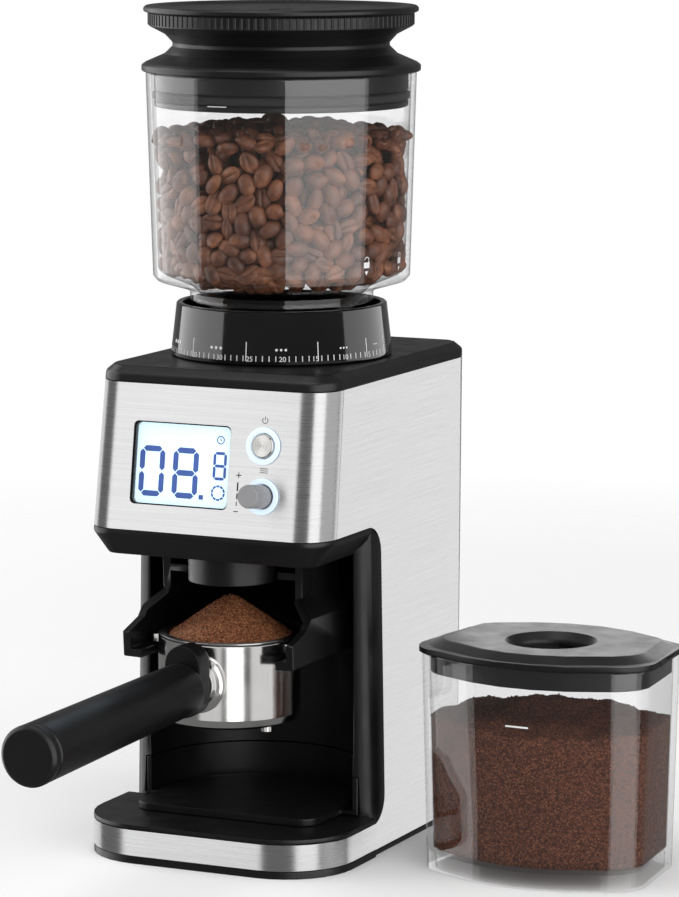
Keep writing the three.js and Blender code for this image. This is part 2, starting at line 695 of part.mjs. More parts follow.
function bayonetRing() {
  const ring = tubeRing(45.2, 38.4, 226.2, 230.6, 28);
  const lugs = [0, 1, 2].map((i) =>
    block(37.5, 45, -5, 5, 229, 230.6).applyMatrix4(new THREE.Matrix4().makeRotationZ((i * 2 * Math.PI) / 3)),
  );
  const inside = lugs.map((lug) => common(lug, rod(45, 200, 260, 0, 0, 28)));
  return cut(join(ring, ...inside), rod(37.5, 200, 260, 0, 0, 28));
}

function hopperLid() {
  return turned([
    [56.2, 340],
    [58.5, 340],
    [58.5, 342.6],
    [57.1, 342.6],
    [57.1, 347.5],
    [58.5, 347.5],
    [58.5, 356],
    [64.2, 356],
    [64.2, 358.9],
    [62.4, 360.2],
    [53.6, 364],
    [49.9, 367.6],
    [49.9, 369.2],
    [53.4, 373],
    [60.9, 376.9],
    [60.9, 382.6],
    [63.2, 383.4],
    [63.2, 385],
    [62.2, 386],
    [57, 386],
    [53, 384.6],
    [6, 384],
    [6, 381.5],
    [51, 381.5],
    [51, 374],
    [47.5, 369],
    [47.5, 367],
    [56.2, 358],
  ], 26);
}

// ---------------------------------------------------------------- portafilter and its fork
function addPortafilter() {
  const group = new THREE.Group();
  group.position.set(0, BOWL.y, 0);
  grinder.add(group);

  const cup = turned([
    [0, BOWL.bottom],
    [27.5, BOWL.bottom],
    [31.6, BOWL.bottom + 1.6],
    [BOWL.radius, BOWL.bottom + 5],
    [BOWL.radius, BOWL.rim],
    [BOWL.bore, BOWL.rim],
    [BOWL.bore, BOWL.bottom + 5],
    [27, BOWL.bottom + BOWL.floor],
    [0, BOWL.bottom + BOWL.floor],
  ], 32);
  const neckEnd = HANDLE.y - BOWL.y + 11.4;
  const neck = new THREE.CylinderGeometry(9.2, 10.8, -neckEnd - 31, 24)
    .rotateX(Math.PI)
    .translate(0, (neckEnd - 31) / 2, HANDLE.z);
  const ears = [-1, 1].map((side) =>
    block(Math.min(side * 31.5, side * 38.6), Math.max(side * 31.5, side * 38.6), -9, 9, 96.6, 101.4),
  );
  const above = BOWL.rim + 8;
  const bowlRoom = turned([
    [0, BOWL.bottom + BOWL.floor],
    [27, BOWL.bottom + BOWL.floor],
    [BOWL.bore, BOWL.bottom + 5],
    [BOWL.bore, above],
    [0, above],
  ], 32);
  const spoutHoles = [-SPOUT.x, SPOUT.x].map((x) =>
    rod(SPOUT.radius + 0.4, SPOUT.bottom, BOWL.bottom + 8, x, SPOUT.y, 12),
  );
  const bowl = cut(join(cup, neck, ...ears), bowlRoom, ...spoutHoles);
  add("portafilter_bowl", bowl, "polished_steel", group);

  const basket = turned([
    [0, 71.2],
    [26.4, 71.2],
    [29.4, 74.4],
    [29.6, BOWL.rim + GAP],
    [32.6, BOWL.rim + GAP],
    [32.6, BOWL.rim + 1.1],
    [28.9, BOWL.rim + 1.1],
    [28.7, 75],
    [26, 72],
    [0, 72],
  ], 30);
  add("filter_basket", basket, "brushed_steel", group);

  const spoutTop = BOWL.bottom + BOWL.floor + 0.5;
  for (const [name, x] of [["spout_left", -SPOUT.x], ["spout_right", SPOUT.x]]) {
    const spout = turned([
      [SPOUT.bore, SPOUT.bottom],
      [SPOUT.radius, SPOUT.bottom],
      [SPOUT.radius, spoutTop],
      [SPOUT.bore, spoutTop],
    ], 14);
    add(name, spout.translate(x, SPOUT.y, 0), "polished_steel", group);
  }

  const plateShape = roundedRectangle(-8.6, 8.6, -17, 16, 8.4);
  const plate = prism(plateShape, 0, 10.5, 4).applyMatrix4(
    new THREE.Matrix4().makeRotationX(Math.PI / 2).setPosition(0, HANDLE.y - BOWL.y + 11, HANDLE.z + 3.6),
  );
  add("handle_collar", plate, "satin_black", group);

  const length = HANDLE.y - HANDLE.end;
  const tilt = Math.atan2(HANDLE.z - HANDLE.endZ, length);
  const grip = new THREE.Group();
  grip.position.set(0, HANDLE.y - BOWL.y, HANDLE.z);
  grip.rotation.x = Math.PI / 2 + tilt;
  group.add(grip);
  const tube = turned([
    [0, GAP],
    [HANDLE.radius - 0.8, GAP],
    [HANDLE.radius, 1.2],
    [HANDLE.endRadius, length],
    [0, length],
  ], 32);
  add("handle_grip", tube, "satin_black", grip);
  const cap = turned([
    [0, length + GAP],
    [HANDLE.endRadius + 0.1, length + GAP],
    [HANDLE.endRadius + 0.1, length + 4.6],
    [HANDLE.endRadius - 1.6, length + 6],
    [0, length + 6],
  ], 32);
  add("handle_end_cap", cap, "satin_black", grip);
}

// The fork slides on rails under the head. Each arm is one bent wall: a pair of rails at the top,
// a straight web, a flare outwards, and a channel at the bottom that carries the bowl's ear.
function forkArm() {
  const [web, channel, wall] = [35.4, HOOK.outer, HOOK.wall];
  const rail = { inner: 23, outer: 29.5, low: 129, slot: 132.1, high: 134.8 };
  const profile = [
    [rail.inner, HEAD_BOTTOM - GAP],
    [rail.outer, HEAD_BOTTOM - GAP],
    [rail.outer, 137.4],
    [web, 137.4],
    [web, 120.5],
    [channel, 113],
    [channel, HOOK.bottom],
    [33.7, HOOK.bottom],
    [33.7, HOOK.bottom + wall],
    [channel - wall, HOOK.bottom + wall],
    [channel - wall, 111.5],
    [web - wall, 119],
    [web - wall, rail.low],
    [rail.inner, rail.low],
    [rail.inner, rail.slot],
    [web - wall, rail.slot],
    [web - wall, rail.high],
    [rail.inner, rail.high],
  ];
  const shape = new THREE.Shape(profile.map(([x, z]) => new THREE.Vector2(x, z)));
  return prism(shape, HOOK.rear, -HOOK.front).applyMatrix4(
    new THREE.Matrix4().set(1, 0, 0, 0, 0, 0, -1, 0, 0, 1, 0, 0, 0, 0, 0, 1),
  );
}

function holderFork() {
  const plate = block(-34.5, 34.5, -HOOK.rear - 4, -HOOK.rear, HOOK.bottom, CHUTE.bottom - 1.6);
  const right = forkArm();
  const left = forkArm().scale(-1, 1, 1);
  // The front edge leans forward from the webs to the tips of the channels.
  const ahead = across([
    [-120, 150],
    [-52, 150],
    [-52, 121],
    [-58, 113.5],
    [-63, 108.5],
    [HOOK.front, HOOK.top],
    [HOOK.front, 80],
    [-120, 80],
  ]);
  const bowlRoom = rod(BOWL.radius + 0.4, 80, 112, 0, BOWL.y, 36);
  return cut(join(plate, right, left), ahead, bowlRoom);
}

function catchTray() {
  const back = BAY.radius + 3 - 0.4;
  const lowest = BASE.deck + GAP;
  const floor = prism(bayShape(back, SEAM_Y), lowest, lowest + 1.6, 9);
  const upstand = cut(
    prism(bayShape(back, SEAM_Y), lowest, TRAY.wallTop, 9),
    prism(bayShape(BAY.radius, -80), 0, 60, 9),
  );
  const padShape = new THREE.Shape();
  const corner = 9;
  padShape.moveTo(-TRAY.padHalf + corner, TRAY.padFront);
  padShape.absarc(TRAY.padHalf - corner, TRAY.padFront + corner, corner, -Math.PI / 2, 0, false);
  padShape.absarc(0, BAY.centreY, TRAY.padHalf, 0, Math.PI, false);
  padShape.absarc(-TRAY.padHalf + corner, TRAY.padFront + corner, corner, Math.PI, 1.5 * Math.PI, false);
  return join(floor, upstand, prism(padShape, lowest, TRAY.padTop, 5));
}

// ---------------------------------------------------------------- grounds container
// A wide D in plan: bowed front and back, and short straight sides that draw in to the back.
function binShape(inset, grow = 0) {
  const front = BIN.half + grow - inset;
  const back = front - 4;
  const [bowFront, bowBack] = [-46 + inset - grow, 44.5 - inset + grow];
  const [cornerFront, cornerBack] = [-33 + inset - grow, 25 - inset * 0.6 + grow];
  const shape = new THREE.Shape();
  shape.moveTo(-front + 14, cornerFront - 2.6);
  shape.quadraticCurveTo(0, 2 * bowFront - cornerFront + 2.6, front - 14, cornerFront - 2.6);
  shape.quadraticCurveTo(front - 1.5, cornerFront + 1.5, front, cornerFront + 15);
  shape.lineTo(back, cornerBack - 3);
  shape.quadraticCurveTo(back - 0.6, cornerBack + 1, back - 5, cornerBack + 3.4);
  shape.quadraticCurveTo(0, 2 * bowBack - cornerBack - 3.4, -back + 5, cornerBack + 3.4);
  shape.quadraticCurveTo(-back + 0.6, cornerBack + 1, -back, cornerBack - 3);
  shape.lineTo(-front, cornerFront + 15);
  shape.quadraticCurveTo(-front + 1.5, cornerFront + 1.5, -front + 14, cornerFront - 2.6);
  return shape;
}

function flared(geometry) {
  const at = geometry.attributes.position;
  for (let i = 0; i < at.count; i++) {
    at.setX(i, at.getX(i) * (1 + (BIN.flare * at.getZ(i)) / BIN.half));
  }
  return geometry;
}

function addContainer() {
  const group = new THREE.Group();
  group.position.set(BIN.x, BIN.y, 0);
  group.rotation.z = THREE.MathUtils.degToRad(BIN.turn);
  grinder.add(group);

  const outside = flared(prism(binShape(0), 0, BIN.height, 5));
  const inside = flared(prism(binShape(BIN.wall), BIN.floor + 2, BIN.height + 5, 5));
  const underside = flared(prism(binShape(BIN.wall + 0.6), -5, BIN.floor, 4));
  add("container_bin", cut(outside, inside, underside), "clear", group);

  const rim = flared(prism(binShape(0, 1), BIN.height + GAP, BIN.height + 3, 5));
  const crown = flared(
    new THREE.ExtrudeGeometry(binShape(7), {
      depth: 20,
      bevelThickness: 3.6,
      bevelSize: 7.6,
      bevelSegments: 1,
      curveSegments: 5,
    }).translate(0, 0, BIN.height + 2.4 - 20),
  );
  const cap = common(crown, block(-80, 80, -80, 80, BIN.height + GAP, BIN.height + 20));
  const plug = flared(prism(binShape(BIN.wall + 0.5), BIN.height - 9, BIN.height + 1, 5));
  const plugRoom = flared(prism(binShape(BIN.wall + 3), BIN.height - 12, BIN.height + 0.8, 3));
  const throat = turned([
    [0, 60],
    [18, 60],
    [18, BIN.height + 2],
    [21.2, BIN.height + 6.2],
    [21.2, 120],
    [0, 120],
  ], 28).translate(0, -3.5, 0);
  const lid = cut(join(rim, cap, cut(plug, plugRoom)), throat);
  add("container_lid", lid, "satin_black", group);
}

// ---------------------------------------------------------------- putting it together
add("base_plate", basePlate(), "satin_black");
for (const [corner, x, y] of FEET) {
  add("foot_" + corner, rod(8, 0, 1.3, x, y, 16), "rubber");
}
for (const [corner, x, y] of SCREWS) {
  const screw = join(rod(3, 0.5, 1.7, x, y, 12), rod(1.5, 1, 12, x, y, 8));
  add("base_screw_" + corner, screw, "zinc");
}
add("base_strip", baseStrip(), "brushed_steel");
add("main_housing", mainHousing(), "satin_black");
add("steel_wrap", steelWrap(), "brushed_steel");
add("front_panel", frontPanel(), "brushed_steel");
add("top_cover", topCover(), "satin_black");
addControls();

const inletRoom = [INLET.width / 2 - 2.2, INLET.height / 2 - 2.2];
const inlet = cut(
  block(-INLET.width / 2, INLET.width / 2, 56, INLET.face, -INLET.height / 2, INLET.height / 2),
  block(-inletRoom[0], inletRoom[0], 59, 100, -inletRoom[1], inletRoom[1]),
);
add("power_inlet", inlet.translate(INLET.x, 0, INLET.z), "satin_black");
const sensor = join(block(-7, 7, -3, 3, 200, 210), block(-5, 5, -0.8, 0.8, 209, 214));
add("hopper_switch", sensor.translate(38, 36, 0), "grey_plastic");

addDrive();
addGearbox();
addGrindingUnit();
add("grind_dial", grindDial(), "gloss_black");
add("bayonet_ring", bayonetRing(), "satin_black");
add("hopper", hopper(), "clear");
add("hopper_lid", hopperLid(), "satin_black");
add("lid_gasket", turned([[57.4, 343], [59.2, 343.7], [59.2, 346.4], [57.4, 347.1]], 26), "rubber");
addPortafilter();
add("holder_fork", holderFork(), "satin_black");
add("catch_tray", catchTray(), "satin_black");
addContainer();

export default grinder;
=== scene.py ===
"""Looks for the burr coffee grinder: finer surfaces, contents, markings, materials, light and camera."""
import functools
import json
import math
import random

import bmesh
import bpy
import numpy as np
from mathutils import Matrix, Vector
from mathutils.bvhtree import BVHTree

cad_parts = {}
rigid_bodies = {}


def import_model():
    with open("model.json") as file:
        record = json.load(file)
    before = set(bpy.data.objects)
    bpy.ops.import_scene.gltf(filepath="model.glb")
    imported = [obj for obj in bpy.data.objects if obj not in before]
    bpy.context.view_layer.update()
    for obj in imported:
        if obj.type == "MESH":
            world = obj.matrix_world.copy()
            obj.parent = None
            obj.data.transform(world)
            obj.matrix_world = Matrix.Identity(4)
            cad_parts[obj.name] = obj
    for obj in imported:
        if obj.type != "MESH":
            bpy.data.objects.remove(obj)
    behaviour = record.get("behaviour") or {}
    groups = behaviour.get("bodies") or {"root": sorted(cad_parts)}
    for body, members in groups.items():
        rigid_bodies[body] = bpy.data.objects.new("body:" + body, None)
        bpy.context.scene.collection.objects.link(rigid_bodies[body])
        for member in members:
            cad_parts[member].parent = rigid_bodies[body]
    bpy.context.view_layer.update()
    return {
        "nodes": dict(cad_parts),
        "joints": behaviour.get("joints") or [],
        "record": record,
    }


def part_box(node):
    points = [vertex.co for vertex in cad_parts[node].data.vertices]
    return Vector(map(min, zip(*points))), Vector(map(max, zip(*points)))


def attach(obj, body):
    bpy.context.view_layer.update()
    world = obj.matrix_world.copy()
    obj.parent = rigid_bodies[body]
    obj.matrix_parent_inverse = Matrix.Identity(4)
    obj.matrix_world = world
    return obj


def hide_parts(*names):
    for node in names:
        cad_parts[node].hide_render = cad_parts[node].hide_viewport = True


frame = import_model()
record = frame["record"]
BODY_OF = {node: body for body, nodes in record["behaviour"]["bodies"].items() for node in nodes}
SLOT_OF = {row["node"]: row["material_slot"] for row in record["subparts"]}

MM = 0.001
UP = Vector((0, 0, 1))
SIDES = 128  # round a re-turned piece


# ---- places taken from the frame
def joint_named(name):
    """A joint's row in the frame."""
    return next(j for j in frame["joints"] if j["name"] == name)


def axis_of(joint):
    """The direction of a joint's axis."""
    return Vector(joint_named(joint)["axis"]).normalized()


@functools.lru_cache(maxsize=None)
def box_of(node):
    """A CAD node's lowest and highest corners."""
    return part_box(node)


def centre_of(node):
    """The middle of a CAD node's box."""
    low, high = box_of(node)
    return (low + high) / 2


@functools.lru_cache(maxsize=None)
def outer_radii(node):
    """The heights of an upright round node's rings, with the largest radius at each."""
    centre = centre_of(node)
    rings = {}
    for vertex in frame["nodes"][node].data.vertices:
        height = round(vertex.co.z, 5)
        radius = math.hypot(vertex.co.x - centre.x, vertex.co.y - centre.y)
        rings[height] = max(radius, rings.get(height, 0))
    heights = sorted(rings)
    return heights, [rings[h] for h in heights]


def radius_of(node, z):
    """An upright round node's outer radius at a height."""
    heights, radii = outer_radii(node)
    return float(np.interp(z, heights, radii))


PANEL_OUT = axis_of("knob_turn")
PANEL_UP = Vector((1, 0, 0)).cross(PANEL_OUT) * -1


@functools.lru_cache(maxsize=None)
def panel_face():
    """How far the steel panel's face lies along the direction that it faces."""
    return max(v.co.dot(PANEL_OUT) for v in frame["nodes"]["front_panel"].data.vertices)


def about(centre, radius, angle, z):
    """A point at a height, and at a radius and an angle about an upright line through a centre."""
    return Vector((centre.x + radius * math.cos(angle), centre.y + radius * math.sin(angle), z))


def round_the(node, angle, z, proud):
    """A point proud of an upright round node, at an angle from the front towards the right."""
    radius = radius_of(node, z) + proud
    centre = centre_of(node)
    return Vector((centre.x + radius * math.sin(angle), centre.y - radius * math.cos(angle), z))


# ---- mesh helpers
def new_piece(name, vertices, faces, body, slot, material=None, smooth=True):
    """A mesh object in the row frame that rides on a body."""
    mesh = bpy.data.meshes.new(name)
    mesh.from_pydata([tuple(v) for v in vertices], [], [tuple(f) for f in faces])
    mesh.update()
    mesh.polygons.foreach_set("use_smooth", [smooth] * len(mesh.polygons))
    return finished(bpy.data.objects.new(name, mesh), body, slot, material)


def finished(piece, body, slot, material=None):
    """Links a piece, gives it its material, and says what it rides on."""
    bpy.context.scene.collection.objects.link(piece)
    piece.data.materials.clear()
    piece.data.materials.append(material or MATERIALS[slot])
    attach(piece, body)
    return piece


def even_normals(piece):
    """Flat faces keep flat shading beside the rounded edges."""
    normals = piece.modifiers.new("even_normals", "WEIGHTED_NORMAL")
    normals.keep_sharp = False
    normals.weight = 60
    return piece


FLAT = math.radians(1.0)  # faces that turn by less are one flat face


def cleaned(mesh):
    """The mesh as a bmesh with shared vertices, and without faces that have no area."""
    work = bmesh.new()
    work.from_mesh(mesh)
    bmesh.ops.remove_doubles(work, verts=work.verts, dist=1e-5)
    bmesh.ops.dissolve_degenerate(work, dist=1e-5, edges=work.edges)
    return work


def refined(node, edge, steps=3, sharp=24.0, material=None):
    """A copy of a CAD node with rounded edges and smooth curves, which stands for the node."""
    work = cleaned(frame["nodes"][node].data)
    bmesh.ops.dissolve_limit(work, angle_limit=FLAT, verts=work.verts, edges=work.edges)
    for face in work.faces:
        face.smooth = True
    mesh = bpy.data.meshes.new(node + "_fine")
    work.to_mesh(mesh)
    work.free()
    piece = finished(bpy.data.objects.new(node + "_fine", mesh), BODY_OF[node], SLOT_OF[node], material)
    bevel = piece.modifiers.new("rounded_edges", "BEVEL")
    bevel.width = edge * MM
    bevel.segments = steps
    bevel.limit_method = "ANGLE"
    bevel.angle_limit = math.radians(sharp)
    bevel.offset_type = "ABSOLUTE"
    bevel.use_clamp_overlap = False
    bevel.loop_slide = False
    settle(piece, node, 0.75 * edge * MM)
    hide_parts(node)
    return even_normals(piece)


def surface_of(node):
    """A CAD node's surface, for looking for places on it."""
    cad = frame["nodes"][node].data
    return BVHTree.FromPolygons([v.co for v in cad.vertices], [list(p.vertices) for p in cad.polygons])


def settle(piece, node, reach):
    """Applies a piece's modifiers, and puts any corner that left the CAD node's surface back on it."""
    evaluated = piece.evaluated_get(bpy.context.evaluated_depsgraph_get())
    mesh = bpy.data.meshes.new_from_object(evaluated)
    piece.modifiers.clear()
    piece.data = mesh
    surface = surface_of(node)
    for vertex in mesh.vertices:
        place, _, _, distance = surface.find_nearest(vertex.co)
        if distance > reach:
            vertex.co = place


def chains(vertices):
    """The vertices in the order in which edges join them, one list for each chain."""
    left = set(vertices)
    found = []
    for vertex in vertices:
        chain = []
        while vertex in left:
            left.discard(vertex)
            chain.append(vertex)
            onward = [e.other_vert(vertex) for e in vertex.link_edges]
            vertex = next((v for v in onward if v in left), None)
        found.append(chain)
    return found


def section(node, x):
    """The loops of points, as (y, z), where the plane at x cuts a CAD node."""
    work = cleaned(frame["nodes"][node].data)
    bmesh.ops.bisect_plane(
        work,
        geom=work.verts[:] + work.edges[:] + work.faces[:],
        dist=1e-6,
        plane_co=(x, 0, 0),
        plane_no=(1, 0, 0),
        clear_inner=True,
        clear_outer=True,
    )
    bmesh.ops.remove_doubles(work, verts=work.verts, dist=2e-5)
    loops = [[Vector((v.co.y, v.co.z)) for v in chain] for chain in chains(work.verts[:]) if len(chain) > 2]
    work.free()
    return loops


def one_side(loop):
    """The part of a closed outline with a radius above zero, closed along the axis."""
    kept = []
    for here, after in zip(loop, loop[1:] + loop[:1]):
        if here.x >= 0:
            kept.append(here)
        if (here.x < 0) != (after.x < 0):
            share = here.x / (here.x - after.x)
            kept.append(Vector((0, here.y + share * (after.y - here.y))))
    return kept


def corners_only(points, least=math.radians(1.2)):
    """Leaves out the points that lie along a straight stretch."""
    changed = True
    while changed and len(points) > 3:
        changed = False
        for i, here in enumerate(points):
            before, after = points[i - 1], points[(i + 1) % len(points)]
            into, out = here - before, after - here
            if into.length < 1e-6 or out.length < 1e-6 or abs(into.angle_signed(out)) < least:
                del points[i]
                changed = True
                break
    return points


def softened(points, radius, steps=4):
    """A closed outline with each corner off the axis turned into a small curve."""
    result = []
    for i, here in enumerate(points):
        back = points[i - 1] - here
        ahead = points[(i + 1) % len(points)] - here
        turn = math.pi - back.angle(ahead)
        if here.x < 1e-6 or turn < math.radians(4):
            result.append(here)
            continue
        reach = min(radius * math.tan(turn / 2), 0.42 * back.length, 0.42 * ahead.length)
        start = here + back.normalized() * reach
        end = here + ahead.normalized() * reach
        for k in range(steps + 1):
            t = k / steps
            result.append(start * (1 - t) ** 2 + here * (2 * t * (1 - t)) + end * t**2)
    return result


def turned_mesh(outline, origin, axis, sides=SIDES, radius_at=None):
    """Vertices and faces of a closed (radius, height) outline turned about an axis."""
    side = axis.orthogonal().normalized()
    other = axis.cross(side)
    vertices, rings = [], []
    for radius, height in outline:
        if radius < 1e-6:
            rings.append([len(vertices)] * sides)
            vertices.append(origin + axis * height)
            continue
        rings.append(range(len(vertices), len(vertices) + sides))
        for k in range(sides):
            angle = 2 * math.pi * k / sides
            r = radius_at(radius, k) if radius_at else radius
            vertices.append(origin + axis * height + (side * math.cos(angle) + other * math.sin(angle)) * r)
    faces = []
    for low, high in zip(rings, rings[1:] + rings[:1]):
        for k in range(sides):
            corner = [low[k], low[(k + 1) % sides], high[(k + 1) % sides], high[k]]
            face = list(dict.fromkeys(corner))
            if len(face) > 2:
                faces.append(face)
    return vertices, faces


def facing_out(piece):
    """Turns a closed piece's faces outwards."""
    work = bmesh.new()
    work.from_mesh(piece.data)
    bmesh.ops.recalc_face_normals(work, faces=work.faces)
    work.to_mesh(piece.data)
    work.free()
    return piece


def outline_of(node, origin, axis):
    """A round CAD node's own outline as (radius, height) about an axis that lies in a plane x = constant."""
    across = Vector((0, axis.z, -axis.y))
    result = []
    for loop in section(node, origin.x):
        flat = []
        for y, z in loop:
            offset = Vector((origin.x, y, z)) - origin
            flat.append(Vector((offset.dot(across), offset.dot(axis))))
        if max(p.x for p in flat) > 1e-5:
            outline = corners_only(one_side(flat))
            if len(outline) > 2:
                result.append(outline)
    return max(result, key=lambda o: max(p.x for p in o))


def turned(node, soft, axis=UP, origin=None, name=None, material=None, sides=SIDES, radius_at=None):
    """A round CAD node turned again with many sides and soft edges, which stands for the node."""
    origin = origin or centre_of(node)
    outline = softened(outline_of(node, origin, axis), soft * MM)
    vertices, faces = turned_mesh(outline, origin, axis, sides, radius_at)
    piece = new_piece(name or node + "_fine", vertices, faces, BODY_OF[node], SLOT_OF[node], material)
    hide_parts(node)
    return even_normals(facing_out(piece))


def bands(first, sides, count):
    """Four-sided faces between rings of vertices that follow each other from a first vertex on."""
    faces = []
    for start in range(first, first + count * sides, sides):
        for k in range(sides):
            after = (k + 1) % sides
            faces.append([start + k, start + after, start + sides + after, start + sides + k])
    return faces


def fan(tip, start, sides):
    """Triangles between a vertex and a ring of vertices."""
    return [[tip, start + k, start + (k + 1) % sides] for k in range(sides)]


def flipped(faces):
    """The faces turned the other way."""
    return [face[:1] + face[:0:-1] for face in faces]


def extruded(outline, place, depth):
    """Vertices and faces of a closed (x, y) outline with a thickness, put in place by a function."""
    count = len(outline)
    vertices = [place(x, y, 0) for x, y in outline] + [place(x, y, depth) for x, y in outline]
    faces = [list(range(count))[::-1], list(range(count, 2 * count))]
    return vertices, faces + bands(0, count, 1)


def joined(parts):
    """Several (vertices, faces) pairs as one."""
    vertices, faces = [], []
    for some_vertices, some_faces in parts:
        start = len(vertices)
        vertices += some_vertices
        faces += [[start + i for i in face] for face in some_faces]
    return vertices, faces


def disc(x, y, radius, sides):
    """A round outline."""
    angles = [2 * math.pi * k / sides for k in range(sides)]
    return [(x + radius * math.cos(a), y + radius * math.sin(a)) for a in angles]


def bar(x0, y0, x1, y1):
    """A four-sided outline from one corner to the opposite one."""
    return [(x0, y0), (x1, y0), (x1, y1), (x0, y1)]


def ring_pieces(x, y, outer, inner, start=0.0, end=360.0, pieces=24):
    """A ring or part of one as short four-sided outlines."""
    result = []
    for k in range(pieces):
        angles = [math.radians(start + (end - start) * (k + s) / pieces) for s in (0, 1)]
        result.append(
            [(x + inner * math.cos(a), y + inner * math.sin(a)) for a in angles]
            + [(x + outer * math.cos(a), y + outer * math.sin(a)) for a in reversed(angles)]
        )
    return result


# ---- material helpers
class Finish:
    """A material being put together from nodes, in the row frame's own coordinates."""

    def __init__(self, name, **values):
        self.data = bpy.data.materials.new(name)
        self.data.use_nodes = True
        self.tree = self.data.node_tree
        self.shader = self.tree.nodes["Principled BSDF"]
        self.output = self.tree.nodes["Material Output"]
        self.place = self.tree.nodes.new("ShaderNodeTexCoord").outputs["Object"]
        for key, value in values.items():
            self.shader.inputs[key.replace("_", " ")].default_value = value

    def node(self, kind, **settings):
        """A new shader node with its settings."""
        made = self.tree.nodes.new("ShaderNode" + kind)
        for key, value in settings.items():
            setattr(made, key, value)
        return made

    def link(self, source, target):
        """Joins an output to an input."""
        self.tree.links.new(source, target)

    def feed(self, source, name):
        """Joins an output to the main shader's named input."""
        self.link(source, self.shader.inputs[name])

    def scaled(self, scale, rotation=(0, 0, 0)):
        """The place, stretched."""
        mapping = self.node("Mapping")
        mapping.inputs["Scale"].default_value = scale
        mapping.inputs["Rotation"].default_value = rotation
        self.link(self.place, mapping.inputs["Vector"])
        return mapping.outputs["Vector"]

    def noise(self, scale, detail=3.0, place=None):
        """A noise value at each place."""
        made = self.node("TexNoise")
        made.inputs["Scale"].default_value = scale
        made.inputs["Detail"].default_value = detail
        self.link(place or self.place, made.inputs["Vector"])
        return made.outputs["Fac"]

    def cells(self, scale):
        """The distance and colour outputs of a pattern of cells."""
        made = self.node("TexVoronoi")
        made.inputs["Scale"].default_value = scale
        self.link(self.place, made.inputs["Vector"])
        return made.outputs

    def spread(self, source, low, high, start=0.3, end=0.7):
        """Maps a noise value to a range."""
        made = self.node("MapRange")
        for key, value in zip(("From Min", "From Max", "To Min", "To Max"), (start, end, low, high)):
            made.inputs[key].default_value = value
        self.link(source, made.inputs["Value"])
        return made.outputs["Result"]

    def ramp(self, source, *stops):
        """A colour that goes through (position, (r, g, b)) stops."""
        made = self.node("ValToRGB")
        elements = made.color_ramp.elements
        while len(elements) < len(stops):
            elements.new(0.5)
        for element, (position, colour) in zip(elements, stops):
            element.position = position
            element.color = (*colour, 1)
        self.link(source, made.inputs["Fac"])
        return made.outputs["Color"]

    def blended(self, factor, one, two, blend="MIX"):
        """Two colours mixed by a constant factor."""
        made = self.node("Mix", data_type="RGBA", blend_type=blend)
        made.inputs["Factor"].default_value = factor
        self.link(one, made.inputs["A"])
        self.link(two, made.inputs["B"])
        return made.outputs["Result"]

    def rise(self, height, distance, under=None):
        """Bumps whose full height is a distance in metres, on top of other bumps."""
        made = self.node("Bump")
        made.inputs["Distance"].default_value = distance
        made.inputs["Strength"].default_value = 1.0
        self.link(height, made.inputs["Height"])
        if under:
            self.link(under, made.inputs["Normal"])
        self.feed(made.outputs["Normal"], "Normal")
        return made.outputs["Normal"]


def moulded(name, dark, light, smooth, rough, grain=2600, relief=2.5e-5, **values):
    """Moulded plastic or rubber: a fine grain, and slow changes of tone and gloss."""
    finish = Finish(name, **values)
    slow = finish.noise(24, 4)
    finish.feed(finish.ramp(slow, (0.3, dark), (0.7, light)), "Base Color")
    finish.feed(finish.spread(finish.noise(90, 5), smooth, rough), "Roughness")
    finish.rise(finish.noise(grain, 2), relief)
    return finish.data


def glossy_black():
    """A polished black moulding with faint haze and dust."""
    finish = Finish("gloss_black", Coat_Weight=0.3, Coat_Roughness=0.03, Specular_IOR_Level=0.45)
    tone = finish.ramp(finish.noise(30, 3), (0.3, (0.004, 0.004, 0.005)), (0.7, (0.008, 0.008, 0.009)))
    finish.feed(tone, "Base Color")
    finish.feed(finish.spread(finish.noise(160, 6), 0.05, 0.12), "Roughness")
    return finish.data


def brushed():
    """Sheet steel with a level grain."""
    dark, light = (0.52, 0.52, 0.525), (0.65, 0.65, 0.65)
    finish = Finish("brushed_steel", Metallic=1.0, Anisotropic=0.7, Anisotropic_Rotation=0.25)
    tangent = finish.node("Tangent", direction_type="RADIAL", axis="Z")
    finish.feed(tangent.outputs["Tangent"], "Tangent")
    long_grain = finish.noise(1.0, 4, finish.scaled((16, 16, 2200)))
    short_grain = finish.noise(1.0, 3, finish.scaled((70, 70, 5200)))
    tone = finish.ramp(long_grain, (0.32, dark), (0.68, light))
    fleck = finish.ramp(short_grain, (0.35, dark), (0.65, light))
    finish.feed(finish.blended(0.45, tone, fleck), "Base Color")
    finish.feed(finish.spread(short_grain, 0.24, 0.36), "Roughness")
    finish.rise(short_grain, 3e-6)
    return finish.data


def polished():
    """Plated metal with faint smears and turning marks."""
    finish = Finish("polished_steel", Metallic=1.0)
    smear = finish.noise(55, 5)
    finish.feed(finish.ramp(smear, (0.3, (0.70, 0.69, 0.68)), (0.7, (0.80, 0.79, 0.78))), "Base Color")
    finish.feed(finish.spread(smear, 0.13, 0.19), "Roughness")
    finish.rise(finish.noise(1.0, 2, finish.scaled((60, 60, 1500))), 6e-7)
    return finish.data


def cast(name, dark, light, smooth, rough):
    """Bare metal with a slight grain."""
    scale, relief = 700, 1.5e-5
    finish = Finish(name, Metallic=1.0)
    finish.feed(finish.ramp(finish.noise(60, 4), (0.3, dark), (0.7, light)), "Base Color")
    finish.feed(finish.spread(finish.noise(scale, 3), smooth, rough), "Roughness")
    finish.rise(finish.noise(scale, 2), relief)
    return finish.data


